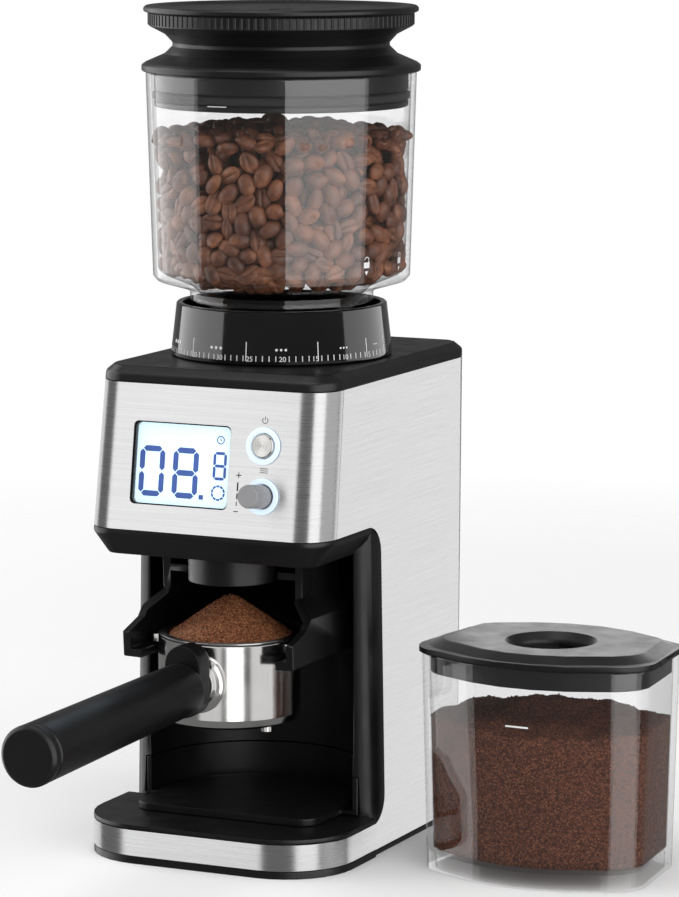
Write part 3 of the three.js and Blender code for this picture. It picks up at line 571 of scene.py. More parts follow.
def clear(name, face, edge, least_shine):
    """Clear plastic: it darkens and shines where it is seen at a slant."""
    finish = Finish(name)
    weight = finish.node("LayerWeight")
    weight.inputs["Blend"].default_value = 0.5
    tint = finish.ramp(
        weight.outputs["Facing"],
        (0.0, (face, face, face)),
        (0.8, (face * 0.985,) * 3),
        (1.0, (edge, edge, edge * 1.02)),
    )
    through = finish.node("BsdfTransparent")
    finish.link(tint, through.inputs["Color"])
    slant = finish.node("Math", operation="POWER")
    slant.inputs[1].default_value = 5.0
    finish.link(weight.outputs["Facing"], slant.inputs[0])
    mix = finish.node("MixShader")
    finish.link(finish.spread(slant.outputs["Value"], least_shine, 0.75, 0.0, 1.0), mix.inputs["Fac"])
    finish.link(through.outputs["BSDF"], mix.inputs[1])
    shine = finish.node("BsdfGlossy")
    shine.inputs["Color"].default_value = (1, 1, 1, 1)
    finish.link(finish.spread(finish.noise(40, 4), 0.015, 0.05), shine.inputs["Roughness"])
    finish.link(shine.outputs["BSDF"], mix.inputs[2])
    finish.link(mix.outputs["Shader"], finish.output.inputs["Surface"])
    return finish.data


def lit(name, colour, shade, strength):
    """A lit surface with a slow unevenness."""
    finish = Finish(name, Roughness=0.4, Emission_Strength=strength)
    glow = finish.ramp(finish.noise(45, 2), (0.25, shade), (0.75, colour))
    finish.feed(glow, "Base Color")
    finish.feed(glow, "Emission Color")
    return finish.data


def printed(name, colour, shade):
    """Printed ink, slightly uneven."""
    finish = Finish(name)
    finish.feed(finish.ramp(finish.noise(900, 3), (0.3, shade), (0.7, colour)), "Base Color")
    finish.feed(finish.spread(finish.noise(300, 3), 0.37, 0.53), "Roughness")
    return finish.data


def spun(node):
    """Metal turned on a lathe: rings about the node's centre, and a highlight that runs round."""
    finish = Finish("spun_metal", Metallic=1.0, Anisotropic=0.85)
    offset = finish.node("VectorMath", operation="SUBTRACT")
    finish.link(finish.place, offset.inputs[0])
    offset.inputs[1].default_value = centre_of(node)
    length = finish.node("VectorMath", operation="LENGTH")
    finish.link(offset.outputs["Vector"], length.inputs[0])
    rings = finish.node("TexNoise", noise_dimensions="1D")
    rings.inputs["Scale"].default_value = 5200
    finish.link(length.outputs["Value"], rings.inputs["W"])
    tone = finish.ramp(rings.outputs["Fac"], (0.3, (0.45, 0.44, 0.42)), (0.7, (0.75, 0.74, 0.72)))
    finish.feed(tone, "Base Color")
    finish.feed(finish.spread(rings.outputs["Fac"], 0.2, 0.34), "Roughness")
    finish.feed(offset.outputs["Vector"], "Tangent")
    return finish.data


def coffee_bean():
    """Roasted beans: brown skin that varies from bean to bean, fine pits and an oily sheen."""
    finish = Finish("coffee_bean", Specular_IOR_Level=0.55)
    dark, middle, light = (0.090, 0.028, 0.012), (0.185, 0.062, 0.025), (0.31, 0.115, 0.046)
    each = finish.ramp(finish.noise(75, 2), (0.3, dark), (0.5, middle), (0.7, light))
    skin = finish.ramp(finish.noise(420, 5), (0.3, (0.35, 0.30, 0.27)), (0.65, (1.0, 1.0, 1.0)))
    finish.feed(finish.blended(0.75, each, skin, "MULTIPLY"), "Base Color")
    finish.feed(finish.spread(finish.noise(300, 4), 0.34, 0.58), "Roughness")
    finish.rise(finish.noise(1100, 4), 9e-5)
    return finish.data


def ground_coffee(name, dark, middle, light, size):
    """Ground coffee: reddish brown grains, with painted shade darkening the gaps between them."""
    finish = Finish(name, Specular_IOR_Level=0.3)
    grains = finish.cells(size)
    each = finish.node("SeparateColor")
    finish.link(grains["Color"], each.inputs["Color"])
    tone = finish.ramp(each.outputs["Red"], (0.0, dark), (0.5, middle), (1.0, light))
    # painted shade: the colour darkens towards each grain's edge, in the sunken gaps between grains
    gap_shade = finish.ramp(grains["Distance"], (0.1, (1, 1, 1)), (0.7, (0.22, 0.18, 0.16)))
    finish.feed(finish.blended(0.85, tone, gap_shade, "MULTIPLY"), "Base Color")
    finish.feed(finish.spread(finish.noise(700, 3), 0.55, 0.85), "Roughness")
    under = finish.rise(finish.noise(500, 4), 3e-4)
    finish.rise(grains["Distance"], -4.5e-4, under=under)
    return finish.data


def circuit_board():
    """A green board with brighter tracks."""
    finish = Finish("board", Roughness=0.45)
    tracks = finish.noise(240, 0, finish.scaled((1, 1, 6)))
    finish.feed(finish.ramp(tracks, (0.47, (0.006, 0.07, 0.022)), (0.53, (0.02, 0.17, 0.05))), "Base Color")
    return finish.data


SATIN_TONES = (0.0040, 0.0040, 0.0043), (0.0065, 0.0065, 0.0069)
LOOSE_TONES = (0.17, 0.050, 0.018), (0.38, 0.135, 0.052), (0.62, 0.27, 0.12)
PACKED_TONES = (0.075, 0.020, 0.009), (0.16, 0.047, 0.020), (0.34, 0.120, 0.055)
MATERIALS = {
    "satin_black": moulded("satin_black", *SATIN_TONES, 0.30, 0.42, Specular_IOR_Level=0.42),
    "gloss_black": glossy_black(),
    "brushed_steel": brushed(),
    "polished_steel": polished(),
    "burr_steel": cast("burr_steel", (0.34, 0.34, 0.34), (0.48, 0.47, 0.46), 0.22, 0.36),
    "zinc": cast("zinc", (0.40, 0.41, 0.42), (0.52, 0.53, 0.54), 0.42, 0.58),
    "brass": cast("brass", (0.55, 0.38, 0.14), (0.72, 0.52, 0.22), 0.24, 0.38),
    "clear": clear("clear", 0.975, 0.72, 0.04),
    "rubber": moulded("rubber", (0.010, 0.010, 0.010), (0.018, 0.018, 0.018), 0.72, 0.88, 1500, 4e-5),
    "board": circuit_board(),
    "backlight": lit("backlight", (0.72, 0.90, 1.0), (0.66, 0.87, 1.0), 0.78),
    "nylon": moulded("nylon", (0.50, 0.49, 0.45), (0.62, 0.61, 0.57), 0.40, 0.55, 1800),
    "grey_plastic": moulded("grey_plastic", (0.22, 0.22, 0.23), (0.30, 0.30, 0.31), 0.34, 0.46, 2200),
}
BEAN = coffee_bean()
GROUNDS = ground_coffee("ground_coffee", *LOOSE_TONES, 1600)
PACKED_GROUNDS = ground_coffee("packed_grounds", *PACKED_TONES, 1500)
WHITE_PRINT = printed("white_print", (0.82, 0.82, 0.82), (0.66, 0.66, 0.66))
DARK_PRINT = printed("dark_print", (0.012, 0.012, 0.014), (0.022, 0.022, 0.024))
DIGIT_INK = lit("digit_ink", (0.046, 0.092, 0.31), (0.038, 0.076, 0.26), 0.75)


def dress_cad_nodes():
    """Every CAD node gets the material of its slot."""
    for node, thing in frame["nodes"].items():
        thing.data.materials.clear()
        thing.data.materials.append(MATERIALS[SLOT_OF[node]])


# ---- body
BODY_EDGES = {
    "main_housing": 1.0,
    "steel_wrap": 0.25,
    "front_panel": 0.25,
    "top_cover": 1.0,
    "base_strip": 0.3,
    "base_plate": 0.6,
    "catch_tray": 0.8,
    "power_inlet": 0.5,
    "holder_fork": 1.0,
}


def make_body():
    """The housing's own pieces, with each one's edges rounded by some millimetres."""
    for node, edge in BODY_EDGES.items():
        refined(node, edge)


# ---- control panel
DIGIT_DEPTH = 0.06 * MM
DISPLAY_FACE = 2.0 * MM  # from the middle of the display module to the face of the digits


def in_window(x, y, lift):
    """A point of the display from its window's top left corner, lifted off the lit face."""
    low, high = box_of("display_window")
    half_height = (high.z - low.z) / 2 / PANEL_UP.z
    centre = centre_of("display_window")
    depth = (centre_of("display_module") - centre).dot(PANEL_OUT)
    across = Vector((low.x - centre.x + x * MM, 0, 0))
    return centre + across + PANEL_UP * (half_height - y * MM) + PANEL_OUT * (depth + DISPLAY_FACE + lift)


def segment(x0, y0, x1, y1, width):
    """One bar of a digit, pointed at both ends."""
    half = width / 2
    along = Vector((x1 - x0, y1 - y0)).normalized()
    across = Vector((-along.y, along.x))
    a = Vector((x0, y0)) + along * half * 0.25
    b = Vector((x1, y1)) - along * half * 0.25
    shape = [a, a + (along + across) * half, b - (along - across) * half, b]
    shape += [b - (along + across) * half, a + (along - across) * half]
    return [tuple(p) for p in shape]


def seven_segment(left, top, width, height, stroke, value):
    """The lit bars of one digit."""
    shown = {0: "abcdef", 8: "abcdefg"}[value]
    x0, x1 = left + stroke / 2, left + width - stroke / 2
    y0, y2 = top + stroke / 2, top + height - stroke / 2
    y1 = (y0 + y2) / 2
    ends = {
        "a": (x0, y0, x1, y0),
        "b": (x1, y0, x1, y1),
        "c": (x1, y1, x1, y2),
        "d": (x0, y2, x1, y2),
        "e": (x0, y1, x0, y2),
        "f": (x0, y0, x0, y1),
        "g": (x0, y1, x1, y1),
    }
    return [segment(*ends[key], stroke) for key in shown]


def make_display_marks():
    """Two large digits, a point, a small digit, a clock and a ring."""
    shapes = seven_segment(1.1, 10.15, 12.7, 22.9, 2.6, 0)
    shapes += seven_segment(18.0, 10.15, 12.9, 22.9, 2.6, 8)
    shapes += seven_segment(38.2, 11.0, 6.7, 12.8, 1.35, 8)
    shapes.append(bar(31.9, 30.9, 34.1, 33.0))
    shapes += ring_pieces(41.3, 5.7, 1.95, 1.5)
    shapes.append(bar(41.15, 4.5, 41.5, 5.8))
    shapes.append(bar(41.15, 5.6, 42.1, 5.95))
    for k in range(10):
        shapes += ring_pieces(41.4, 29.5, 3.5, 2.6, 36 * k, 36 * k + 30, 3)
    parts = [extruded(shape, in_window, DIGIT_DEPTH) for shape in shapes]
    new_piece("display_digits", *joined(parts), "housing", "backlight", DIGIT_INK, smooth=False)


def on_panel(node, x, y, lift):
    """A point on the steel face, from the centre of a round piece set in it."""
    centre = centre_of(node)
    out = panel_face() - centre.dot(PANEL_OUT)
    return centre + Vector((x * MM, 0, 0)) + PANEL_UP * (y * MM) + PANEL_OUT * (out + lift)


PRINT_DEPTH = 0.05 * MM
PRINT_PROUD = 0.03 * MM


def make_panel_marks():
    """Plain signs printed beside the button and the knob."""
    knob = functools.partial(on_panel, "knob_bezel")
    button = functools.partial(on_panel, "button_light_ring")
    signs = [bar(-13.6, 8.35, -11.0, 8.75), bar(-12.5, 7.25, -12.1, 9.85)]
    signs += [bar(-12.9, 1.5, -12.2, 5.4), bar(-12.9, -2.2, -12.35, 0.4), bar(-12.9, -5.2, -12.5, -3.2)]
    signs.append(bar(-13.9, -7.9, -11.6, -7.5))
    signs += [bar(-2.0, 10.3 + k, 2.0, 10.6 + k) for k in (0.0, 0.9, 1.8)]
    parts = [extruded(sign, knob, PRINT_DEPTH) for sign in signs]
    power = ring_pieces(0, 11.2, 1.5, 1.2, 130, 410, 20) + [bar(-0.15, 11.3, 0.15, 13.0)]
    parts += [extruded(sign, button, PRINT_DEPTH) for sign in power]
    new_piece("panel_signs", *joined(parts), "housing", "satin_black", DARK_PRINT, smooth=False)


RIDGES = 44  # round the knob
SIDES_PER_RIDGE = 6
RIDGE_DEPTH = 0.28 * MM
RIDGED_FROM = 0.93  # of the knob's radius


def knurl(radius, k):
    """The knob's radius at one of its sides, with ridges on its outer wall."""
    low, high = box_of("menu_knob")
    depth = RIDGE_DEPTH if radius > RIDGED_FROM * (high.x - low.x) / 2 else 0
    return radius - depth * (0.5 + 0.5 * math.cos(2 * math.pi * k / SIDES_PER_RIDGE))


def make_controls():
    """Button, knob and the light rings round them, turned about the panel's own direction."""
    glow = lit("ring_glow", (0.60, 0.70, 0.80), (0.55, 0.66, 0.78), 0.5)
    button = centre_of("power_button")
    knob = Vector(joint_named("knob_turn")["pos_m"])
    turned("button_light_ring", 0.5, PANEL_OUT, button, material=glow)
    turned("knob_bezel", 0.5, PANEL_OUT, knob, material=glow)
    turned("power_button", 0.4, PANEL_OUT, button, material=spun("power_button"))
    turned("menu_knob", 0.3, PANEL_OUT, knob, sides=RIDGES * SIDES_PER_RIDGE, radius_at=knurl)
    make_display_marks()
    make_panel_marks()


# ---- dial
STEP = math.radians(3.41)  # from one number to the next
FIRST = math.radians(91.1)  # from the front to the first number
LAST_MARK = 46
DIAL_PRINT_DEPTH = 0.04 * MM
NUMBER_HEIGHT = 2.3
CAPITAL_SHARE = 0.7  # of the built-in font's size
SECTION_STARTS = (1, 6, 15, 26, 36, 46)


def wrapped(node, angle, start):
    """Puts flat (x, y) in millimetres on an upright round node, about an angle and above a height."""
    radius = radius_of(node, start + 10 * MM)

    def place(x, y, lift):
        return round_the(node, angle + x * MM / radius, start + y * MM, lift + PRINT_PROUD)

    return place


def number_outlines(text, height):
    """A number as flat triangles from the built-in font, centred on x."""
    curve = bpy.data.curves.new("number", "FONT")
    curve.body = text
    curve.align_x = "CENTER"
    curve.size = height / CAPITAL_SHARE
    thing = bpy.data.objects.new("number", curve)
    bpy.context.scene.collection.objects.link(thing)
    bpy.context.view_layer.update()
    mesh = bpy.data.meshes.new_from_object(thing.evaluated_get(bpy.context.evaluated_depsgraph_get()))
    shape = [(v.co.x, v.co.y) for v in mesh.vertices], [list(p.vertices) for p in mesh.polygons]
    bpy.data.objects.remove(thing)
    return shape


def make_dial_marks():
    """Ticks, numbers, section lines and grain-size dots printed round the dial."""
    foot = box_of("grind_dial")[0].z
    depth = DIAL_PRINT_DEPTH
    parts = []
    for number in range(1, LAST_MARK + 1):
        place = wrapped("grind_dial", FIRST - STEP * (number - 1), foot)
        if number in SECTION_STARTS:
            parts.append(extruded(bar(1.1, 2.0, 1.5, 10.6), place, depth))
        if number % 5 == 0 or number == 1:
            points, faces = number_outlines(str(number), NUMBER_HEIGHT)
            parts.append(([place(x, y + 1.9, depth) for x, y in points], faces))
        else:
            parts.append(extruded(bar(-0.2, 1.9, 0.2, 4.4), place, depth))
    for k, (start, end) in enumerate(zip(SECTION_STARTS, SECTION_STARTS[1:])):
        place = wrapped("grind_dial", FIRST - STEP * ((start + end) / 2 - 1.3), foot)
        for i in (-1, 0, 1):
            parts.append(extruded(disc(i * (1.2 + 0.45 * k), 7.2, 0.3 + 0.14 * k, 14), place, depth))
    new_piece("dial_marks", *joined(parts), "dial", "gloss_black", WHITE_PRINT, smooth=False)


# ---- hopper and lid
LID_RIBS = 120
RIB_INSET = 3.4 * MM
RIB_FOOT = 8.6 * MM  # below the lid's top
RIB_HEIGHT = 5.0 * MM
RIB_REACH = 0.95 * MM
RIB_HALF_WIDTH = 0.85 * MM
RIB_ANGLES = (-1.57, -0.9, -0.3, 0.3, 0.9, 1.57)


def on_grip_ring(angle):
    """Puts a point on the lid's grip ring, from its distances outwards, sideways and upwards."""
    low, high = box_of("hopper_lid")
    centre = centre_of("hopper_lid")
    radius = (high.x - low.x) / 2 - RIB_INSET
    out = Vector((math.cos(angle), math.sin(angle), 0))
    side = Vector((-out.y, out.x, 0))
    foot = Vector((centre.x, centre.y, high.z - RIB_FOOT))

    def place(x, y, lift):
        return foot + out * (radius + x) + side * y + UP * lift

    return place


def make_lid_ribs():
    """Upright ribs round the lid's grip ring."""
    outline = [(RIB_REACH * math.cos(a), RIB_HALF_WIDTH * math.sin(a)) for a in RIB_ANGLES]
    places = [on_grip_ring(2 * math.pi * k / LID_RIBS) for k in range(LID_RIBS)]
    parts = [extruded(outline, place, RIB_HEIGHT) for place in places]
    facing_out(new_piece("lid_ribs", *joined(parts), "lid", "satin_black", smooth=False))


HOPPER_SHOULDER = 31.2 * MM  # above the hopper's foot


def make_hopper_marks():
    """A fill line, and an open and a closed padlock with pointers."""
    foot = box_of("hopper")[0].z + HOPPER_SHOULDER
    front = wrapped("hopper", math.radians(-2), foot)
    line = [bar(0.9 * k, 80.5, 0.9 * (k + 1), 80.9) for k in range(-5, 5)]
    parts = [extruded(shape, front, PRINT_DEPTH) for shape in line]
    for angle, lean in ((68.0, 1.5), (95.0, 0.0)):
        place = wrapped("hopper", math.radians(angle), foot)
        shapes = [bar(-1.7, 7.0, 1.7, 9.6), bar(1.0, 9.6, 1.4, 11.0 - lean / 3)]
        shapes += ring_pieces(0, 10.8, 1.4, 1.0, 0, 180, 8)
        shapes += [bar(-1.4, 9.6 + lean, -1.0, 10.9)]
        shapes.append([(-1.1, 5.6), (0, 3.6), (1.1, 5.6)])
        parts += [extruded(shape, place, PRINT_DEPTH) for shape in shapes]
    new_piece("hopper_marks", *joined(parts), "hopper_body", "clear", WHITE_PRINT, smooth=False)


def make_hopper():
    """The hopper, its lid and the dial, with their ribs and markings."""
    turned("hopper", 1.2)
    turned("hopper_lid", 1.2)
    turned("lid_gasket", 0.4)
    turned("grind_dial", 0.7)
    make_lid_ribs()
    make_hopper_marks()
    make_dial_marks()


# ---- beans
def bean_shape():
    """One bean: a half-flat oval with a bent crease, as numbers of vertices and faces."""
    long_half, wide_half, thick_half = 5.7, 4.1, 3.9
    rings, sides = 11, 18
    vertices = [(-long_half, 0, 0)]
    for i in range(1, rings + 1):
        v = math.pi * i / (rings + 1)
        for k in range(sides):
            t = k / sides
            u = 2 * math.pi * t - 0.72 * math.sin(2 * math.pi * t) - math.pi / 2
            x = -long_half * math.cos(v)
            y = wide_half * math.sin(v) * math.cos(u)
            z = thick_half * math.sin(v) * math.sin(u)
            if z < 0:
                crease = y - 0.45 * math.sin(math.pi * x / long_half)
                z = z * 0.45 + 1.15 * math.exp(-((crease / 0.62) ** 2)) * math.sin(v) ** 0.7
            vertices.append((x, y, z))
    last = len(vertices)
    vertices.append((long_half, 0, 0))
    faces = flipped(fan(0, 1, sides)) + bands(1, sides, rings - 1) + fan(last, last - sides, sides)
    return np.array(vertices) * MM, faces


HEAP_MIDDLE = 333.0 * MM  # height of the beans' top in the middle
HEAP_FALL = 0.13  # how fast it falls towards the wall
HOPPER_WALL = 2.4 * MM
BEAN_REACH = 3.9 * MM  # least distance from a bean's centre to the wall
BEAN_GAP = 8.6 * MM  # between the centres of two beans
BEAN_COUNT = 1500
BEAN_PIECES = 5
SPREAD_ROUNDS = 45
SEEN_BEHIND_WALL = 24 * MM  # beans that lie deeper than both are left out
SEEN_BELOW_TOP = 17 * MM


def spread_out(points, clamp):
    """Pushes points apart until they are about a gap from each other, and keeps them inside."""
    for _ in range(SPREAD_ROUNDS):
        apart = points[:, None, :] - points[None, :, :]
        distance = np.sqrt((apart**2).sum(2)) + 1e-9
        push = np.clip(BEAN_GAP - distance, 0, None) / distance
        np.fill_diagonal(push, 0)
        points = points + 0.28 * (apart * push[:, :, None]).sum(1)
        points = clamp(points)
    return points


def bean_places(rng):
    """Centres of the beans in the hopper: spread evenly, and only where they can be seen."""
    low, high = box_of("hopper")
    foot = low.z + HOPPER_SHOULDER
    top_radius = radius_of("hopper", high.z) - HOPPER_WALL
    foot_radius = radius_of("hopper", foot) - HOPPER_WALL

    def clamp(points):
        radius = np.hypot(points[:, 0], points[:, 1]) + 1e-9
        share = (points[:, 2] - foot) / (high.z - foot)
        inside = foot_radius + (top_radius - foot_radius) * share - BEAN_REACH
        floor = foot + 5.0 * MM - np.clip(foot_radius - 6 * MM - radius, 0, None) * 0.4
        roof = HEAP_MIDDLE - HEAP_FALL * radius
        limited = np.minimum(radius, inside)
        points = points.copy()
        points[:, :2] *= (limited / radius)[:, None]
        points[:, 2] = np.clip(points[:, 2], floor, roof)
        return points

    angle = rng.uniform(0, 2 * math.pi, BEAN_COUNT)
    radius = foot_radius * np.sqrt(rng.uniform(0, 1, BEAN_COUNT))
    height = rng.uniform(foot - 12 * MM, HEAP_MIDDLE, BEAN_COUNT)
    points = clamp(np.stack([radius * np.cos(angle), radius * np.sin(angle), height], 1))
    points = spread_out(points, clamp)
    radius = np.hypot(points[:, 0], points[:, 1])
    at_wall = radius > foot_radius - SEEN_BEHIND_WALL
    on_top = points[:, 2] > HEAP_MIDDLE - HEAP_FALL * radius - SEEN_BELOW_TOP
    return points[at_wall | on_top], top_radius


def bean_turn(point, wall_radius, rng):
    """A bean's orientation: flat against the wall or the top, with its long side any way."""
    radius = math.hypot(point[0], point[1])
    out = Vector((point[0], point[1], 0)).normalized()
    on_top = point[2] > HEAP_MIDDLE - HEAP_FALL * radius - 5 * MM
    if on_top:
        facing = UP
    elif radius > wall_radius - 10 * MM:
        facing = out
    else:
        facing = Vector(rng.normal(size=3)).normalized()
    tilt = 0.45 if on_top else 0.28
    facing = (facing + Vector(rng.normal(size=3)) * tilt).normalized()
    if rng.random() < 0.45:
        facing = -facing
    along = facing.orthogonal().normalized()
    along = Matrix.Rotation(rng.uniform(0, 2 * math.pi), 3, facing) @ along
    return np.array(Matrix((along, facing.cross(along), facing)).transposed())


def make_beans():
    """Beans in the hopper, in a few pieces."""
    rng = np.random.default_rng(7)
    shape, faces = bean_shape()
    faces_of = [np.array(f) for f in faces]
    points, wall_radius = bean_places(rng)
    for group in range(BEAN_PIECES):
        vertices, all_faces = [], []
        for point in points[group::BEAN_PIECES]:
            turn = bean_turn(point, wall_radius, rng)
            size = rng.uniform(0.90, 1.06, 3)
            start = len(vertices) * len(shape)
            vertices.append((shape * size) @ turn.T + point)
            all_faces += [(f + start).tolist() for f in faces_of]
        new_piece("beans_%d" % (group + 1), np.concatenate(vertices), all_faces, "hopper_body", "clear", BEAN)


# ---- ground coffee
def grain_parts(places, rng):
    """Small eight-sided grains at places."""
    corners = np.array([(1, 0, 0), (-1, 0, 0), (0, 1, 0), (0, -1, 0), (0, 0, 1), (0, 0, -1)], float)
    sides = [(0, 2, 4), (2, 1, 4), (1, 3, 4), (3, 0, 4), (2, 0, 5), (1, 2, 5), (3, 1, 5), (0, 3, 5)]
    parts = []
    for place in places:
        size = rng.uniform(0.22, 0.55, 3) * MM
        axis = Vector(rng.normal(size=3)).normalized()
        turn = np.array(Matrix.Rotation(rng.uniform(0, math.pi), 3, axis))
        points = (corners * size) @ turn.T + np.array(place)
        parts.append(([tuple(p) for p in points], [list(f) for f in sides]))
    return parts


TIP_ROUNDNESS = 0.012  # as the square of a share of the heap's radius
HEAP_INSET = 4.4 * MM
HEAP_PEAK = 16.6 * MM  # above the basket's rim
HEAP_FOOT = 1.4 * MM  # below it
HEAP_DEPTH = 8 * MM  # of the skirt below its foot
BASKET_GRAINS = 2600


def heap_height(radius, reach, peak, foot):
    """A heap's height: a cone with a rounded tip and a soft foot."""
    share = min(radius / reach, 1.0)
    tip = math.sqrt(share**2 + TIP_ROUNDNESS) - math.sqrt(TIP_ROUNDNESS)
    return foot + (peak - foot) * (1 - tip / (math.sqrt(1 + TIP_ROUNDNESS) - math.sqrt(TIP_ROUNDNESS)))


def heap_mesh(centre, reach, peak, foot):
    """An uneven heap with a skirt and a flat underside."""
    rings, sides = 46, 150
    bumps = random.Random(5)
    vertices = [Vector((centre.x, centre.y, peak))]
    for i in range(1, rings + 1):
        radius = reach * i / rings
        for k in range(sides):
            angle = 2 * math.pi * (k + 0.5 * (i % 2)) / sides
            rough = (bumps.random() - 0.5) * 0.55 * MM * min(1, 3 * i / rings)
            wide = 0.5 * MM * math.sin(3 * angle + radius * 320) * (i / rings)
            height = heap_height(radius, reach, peak, foot) + rough + wide
            vertices.append(about(centre, radius, angle, height))
    bottom = len(vertices)
    vertices += [Vector((point.x, point.y, foot - HEAP_DEPTH)) for point in vertices[-sides:]]
    faces = fan(0, 1, sides) + flipped(bands(1, sides, rings))
    faces.append([bottom + k for k in range(sides)][::-1])
    return vertices, faces


def make_basket_grounds():
    """The cone of ground coffee in the filter basket."""
    rng = np.random.default_rng(11)
    low, high = box_of("filter_basket")
    centre = centre_of("filter_basket")
    heap = (high.x - low.x) / 2 - HEAP_INSET, high.z + HEAP_PEAK, high.z - HEAP_FOOT
    new_piece("basket_grounds", *heap_mesh(centre, *heap), "portafilter", "brushed_steel", GROUNDS)
    places = []
    for _ in range(BASKET_GRAINS):
        radius = heap[0] * math.sqrt(rng.uniform(0, 1))
        angle = rng.uniform(0, 2 * math.pi)
        places.append(about(centre, radius, angle, heap_height(radius, *heap) + rng.uniform(-0.1, 0.3) * MM))
    grains = joined(grain_parts(places, rng))
    new_piece("basket_grains", *grains, "portafilter", "brushed_steel", GROUNDS, smooth=False)


# ---- portafilter
HANDLE_END = 2.5 * MM  # how much of the grip counts as its end
NECK_START = 31.4 * MM  # from the cup's axis
NECK_GAP = 0.4 * MM


def handle_axis():
    """The two ends of the handle's own axis, first the one at the cup."""
    points = [v.co for v in frame["nodes"]["handle_grip"].data.vertices]
    near = max(p.y for p in points) - HANDLE_END
    far = min(p.y for p in points) + HANDLE_END
    ends = [p for p in points if p.y > near], [p for p in points if p.y < far]
    return [sum(end, Vector()) / len(end) for end in ends]


def make_neck(bowl, height):
    """The turned neck from the cup to the handle's collar."""
    start = NECK_START
    end = bowl.y - box_of("handle_collar")[1].y - NECK_GAP
    outline = [(0, start), (13.2 * MM, start), (13.6 * MM, start + 1.2 * MM), (13.6 * MM, start + 3.2 * MM)]
    outline += [(12.2 * MM, start + 4.0 * MM), (10.6 * MM, start + 4.6 * MM), (9.6 * MM, end), (0, end)]
    outline = softened([Vector(p) for p in outline], 0.6 * MM)
    vertices, faces = turned_mesh(outline, height, Vector((0, -1, 0)))
    neck = new_piece("bowl_neck", vertices, faces, "portafilter", "polished_steel")
    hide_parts("portafilter_bowl")
    even_normals(facing_out(neck))


def make_portafilter():
    """A turned cup with a neck, ears, spouts, collar and handle."""
    basket = centre_of("filter_basket")
    bowl = Vector((basket.x, basket.y, 0))
    turned("portafilter_bowl", 0.8, origin=bowl, name="bowl_cup")
    near, far = handle_axis()
    make_neck(bowl, Vector((near.x, bowl.y, near.z)))
    make_ears(bowl)
    for name in ("spout_left", "spout_right"):
        turned(name, 0.4, sides=64)
    turned("filter_basket", 0.25)
    turned("chute_nozzle", 0.5)
    refined("handle_collar", 1.4, 4)
    axis = (far - near).normalized()
    turned("handle_grip", 1.6, axis, near)
    turned("handle_end_cap", 1.4, axis, near)


EAR_INNER = 32.2 * MM  # from the cup's axis
EAR_TOP = 1.2 * MM  # below the cup's rim
EAR_FOOT = 6.0 * MM  # below the cup's rim
EAR_SLOPE = 0.6 * MM
EAR_SPREAD = math.radians(13.5)
EAR_STEPS = 14


def ear_mesh(bowl, middle):
    """One ramped lug about an angle: four corners at each step round the cup."""
    high = box_of("portafilter_bowl")[1]
    bottom, top = high.z - EAR_FOOT, high.z - EAR_TOP
    vertices = []
    for k in range(EAR_STEPS + 1):
        turn = 2 * k / EAR_STEPS - 1
        reach = EAR_INNER + (high.x - EAR_INNER) * (1 - abs(turn) ** 4 * 0.35)
        corners = [(EAR_INNER, bottom), (reach, bottom + EAR_SLOPE)]
        corners += [(reach, top - EAR_SLOPE), (EAR_INNER, top)]
        vertices += [about(bowl, radius, middle + EAR_SPREAD * turn, z) for radius, z in corners]
    ends = [[3, 2, 1, 0], [4 * EAR_STEPS + i for i in range(4)]]
    return vertices, bands(0, 4, EAR_STEPS) + ends


def make_ears(bowl):
    """Two ramped lugs on the sides of the cup."""
    parts = [ear_mesh(bowl, middle) for middle in (0.0, math.pi)]
    ears = facing_out(new_piece("bowl_ears", *joined(parts), "portafilter", "polished_steel"))
    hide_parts("portafilter_bowl")
    bevel = ears.modifiers.new("rounded_edges", "BEVEL")
    bevel.width = 0.5 * MM
    bevel.segments = 2
    even_normals(ears)


# ---- container
FILL_FOOT = 9.4 * MM  # above the bin's underside, as are the next two
FILL_LINE = 69.0 * MM
MARK_HEIGHT = 73.0 * MM
FILL_RISE = 6.0 * MM  # of the heap above its line
FILL_SHOULDER = 2.0 * MM  # between the line and the ring below it
FILL_SLACK = 0.35 * MM  # between the coffee and the wall
FILL_SIDES, FILL_LAYERS, FILL_RINGS = 260, 12, 60
BIN_GRAINS = 3000


def make_container():
    """The clear bin, its lid, what is in it and its mark."""
    bin_clear = clear("container_clear", 0.985, 0.80, 0.035)
    refined("container_bin", 0.9, sharp=35, material=bin_clear)
    refined("container_lid", 1.0)
    make_container_grounds()
    make_container_mark()


def wall_places(foot, line):
    """Rings of points just inside the bin's wall: those from a foot to below a line, and the line's own."""
    middle = centre_of("container_bin")
    surface = surface_of("container_bin")
    outwards = [about(Vector(), 1, 2 * math.pi * k / FILL_SIDES, 0) for k in range(FILL_SIDES)]

    def ring(z):
        start = Vector((middle.x, middle.y, z))
        return [start + out * (surface.ray_cast(start, out)[3] - FILL_SLACK) for out in outwards]

    height = line - FILL_SHOULDER - foot
    return [ring(foot + height * i / (FILL_LAYERS - 1)) for i in range(FILL_LAYERS)], ring(line)


def heaped_top(edge, line):
    """Rings of points from an edge to the middle: a low heap with waves and small bumps."""
    middle = centre_of("container_bin").xy
    uneven = random.Random(23)
    points = []
    for i in range(FILL_RINGS + 1):
        share = 1 - i / FILL_RINGS
        ring = [middle.lerp(point.xy, share) for point in edge] if share else [middle]
        for x, y in ring:
            wave = 0.7 * math.sin(x * 210) + 0.6 * math.sin(y * 260 + 1) + 0.4 * math.sin(x * 500)
            rough = (uneven.random() - 0.5) * 0.55 * min(1, 3 * share)
            points.append(Vector((x, y, line + FILL_RISE * (1 - share**2) ** 1.3 + (wave + rough) * MM)))
    return points


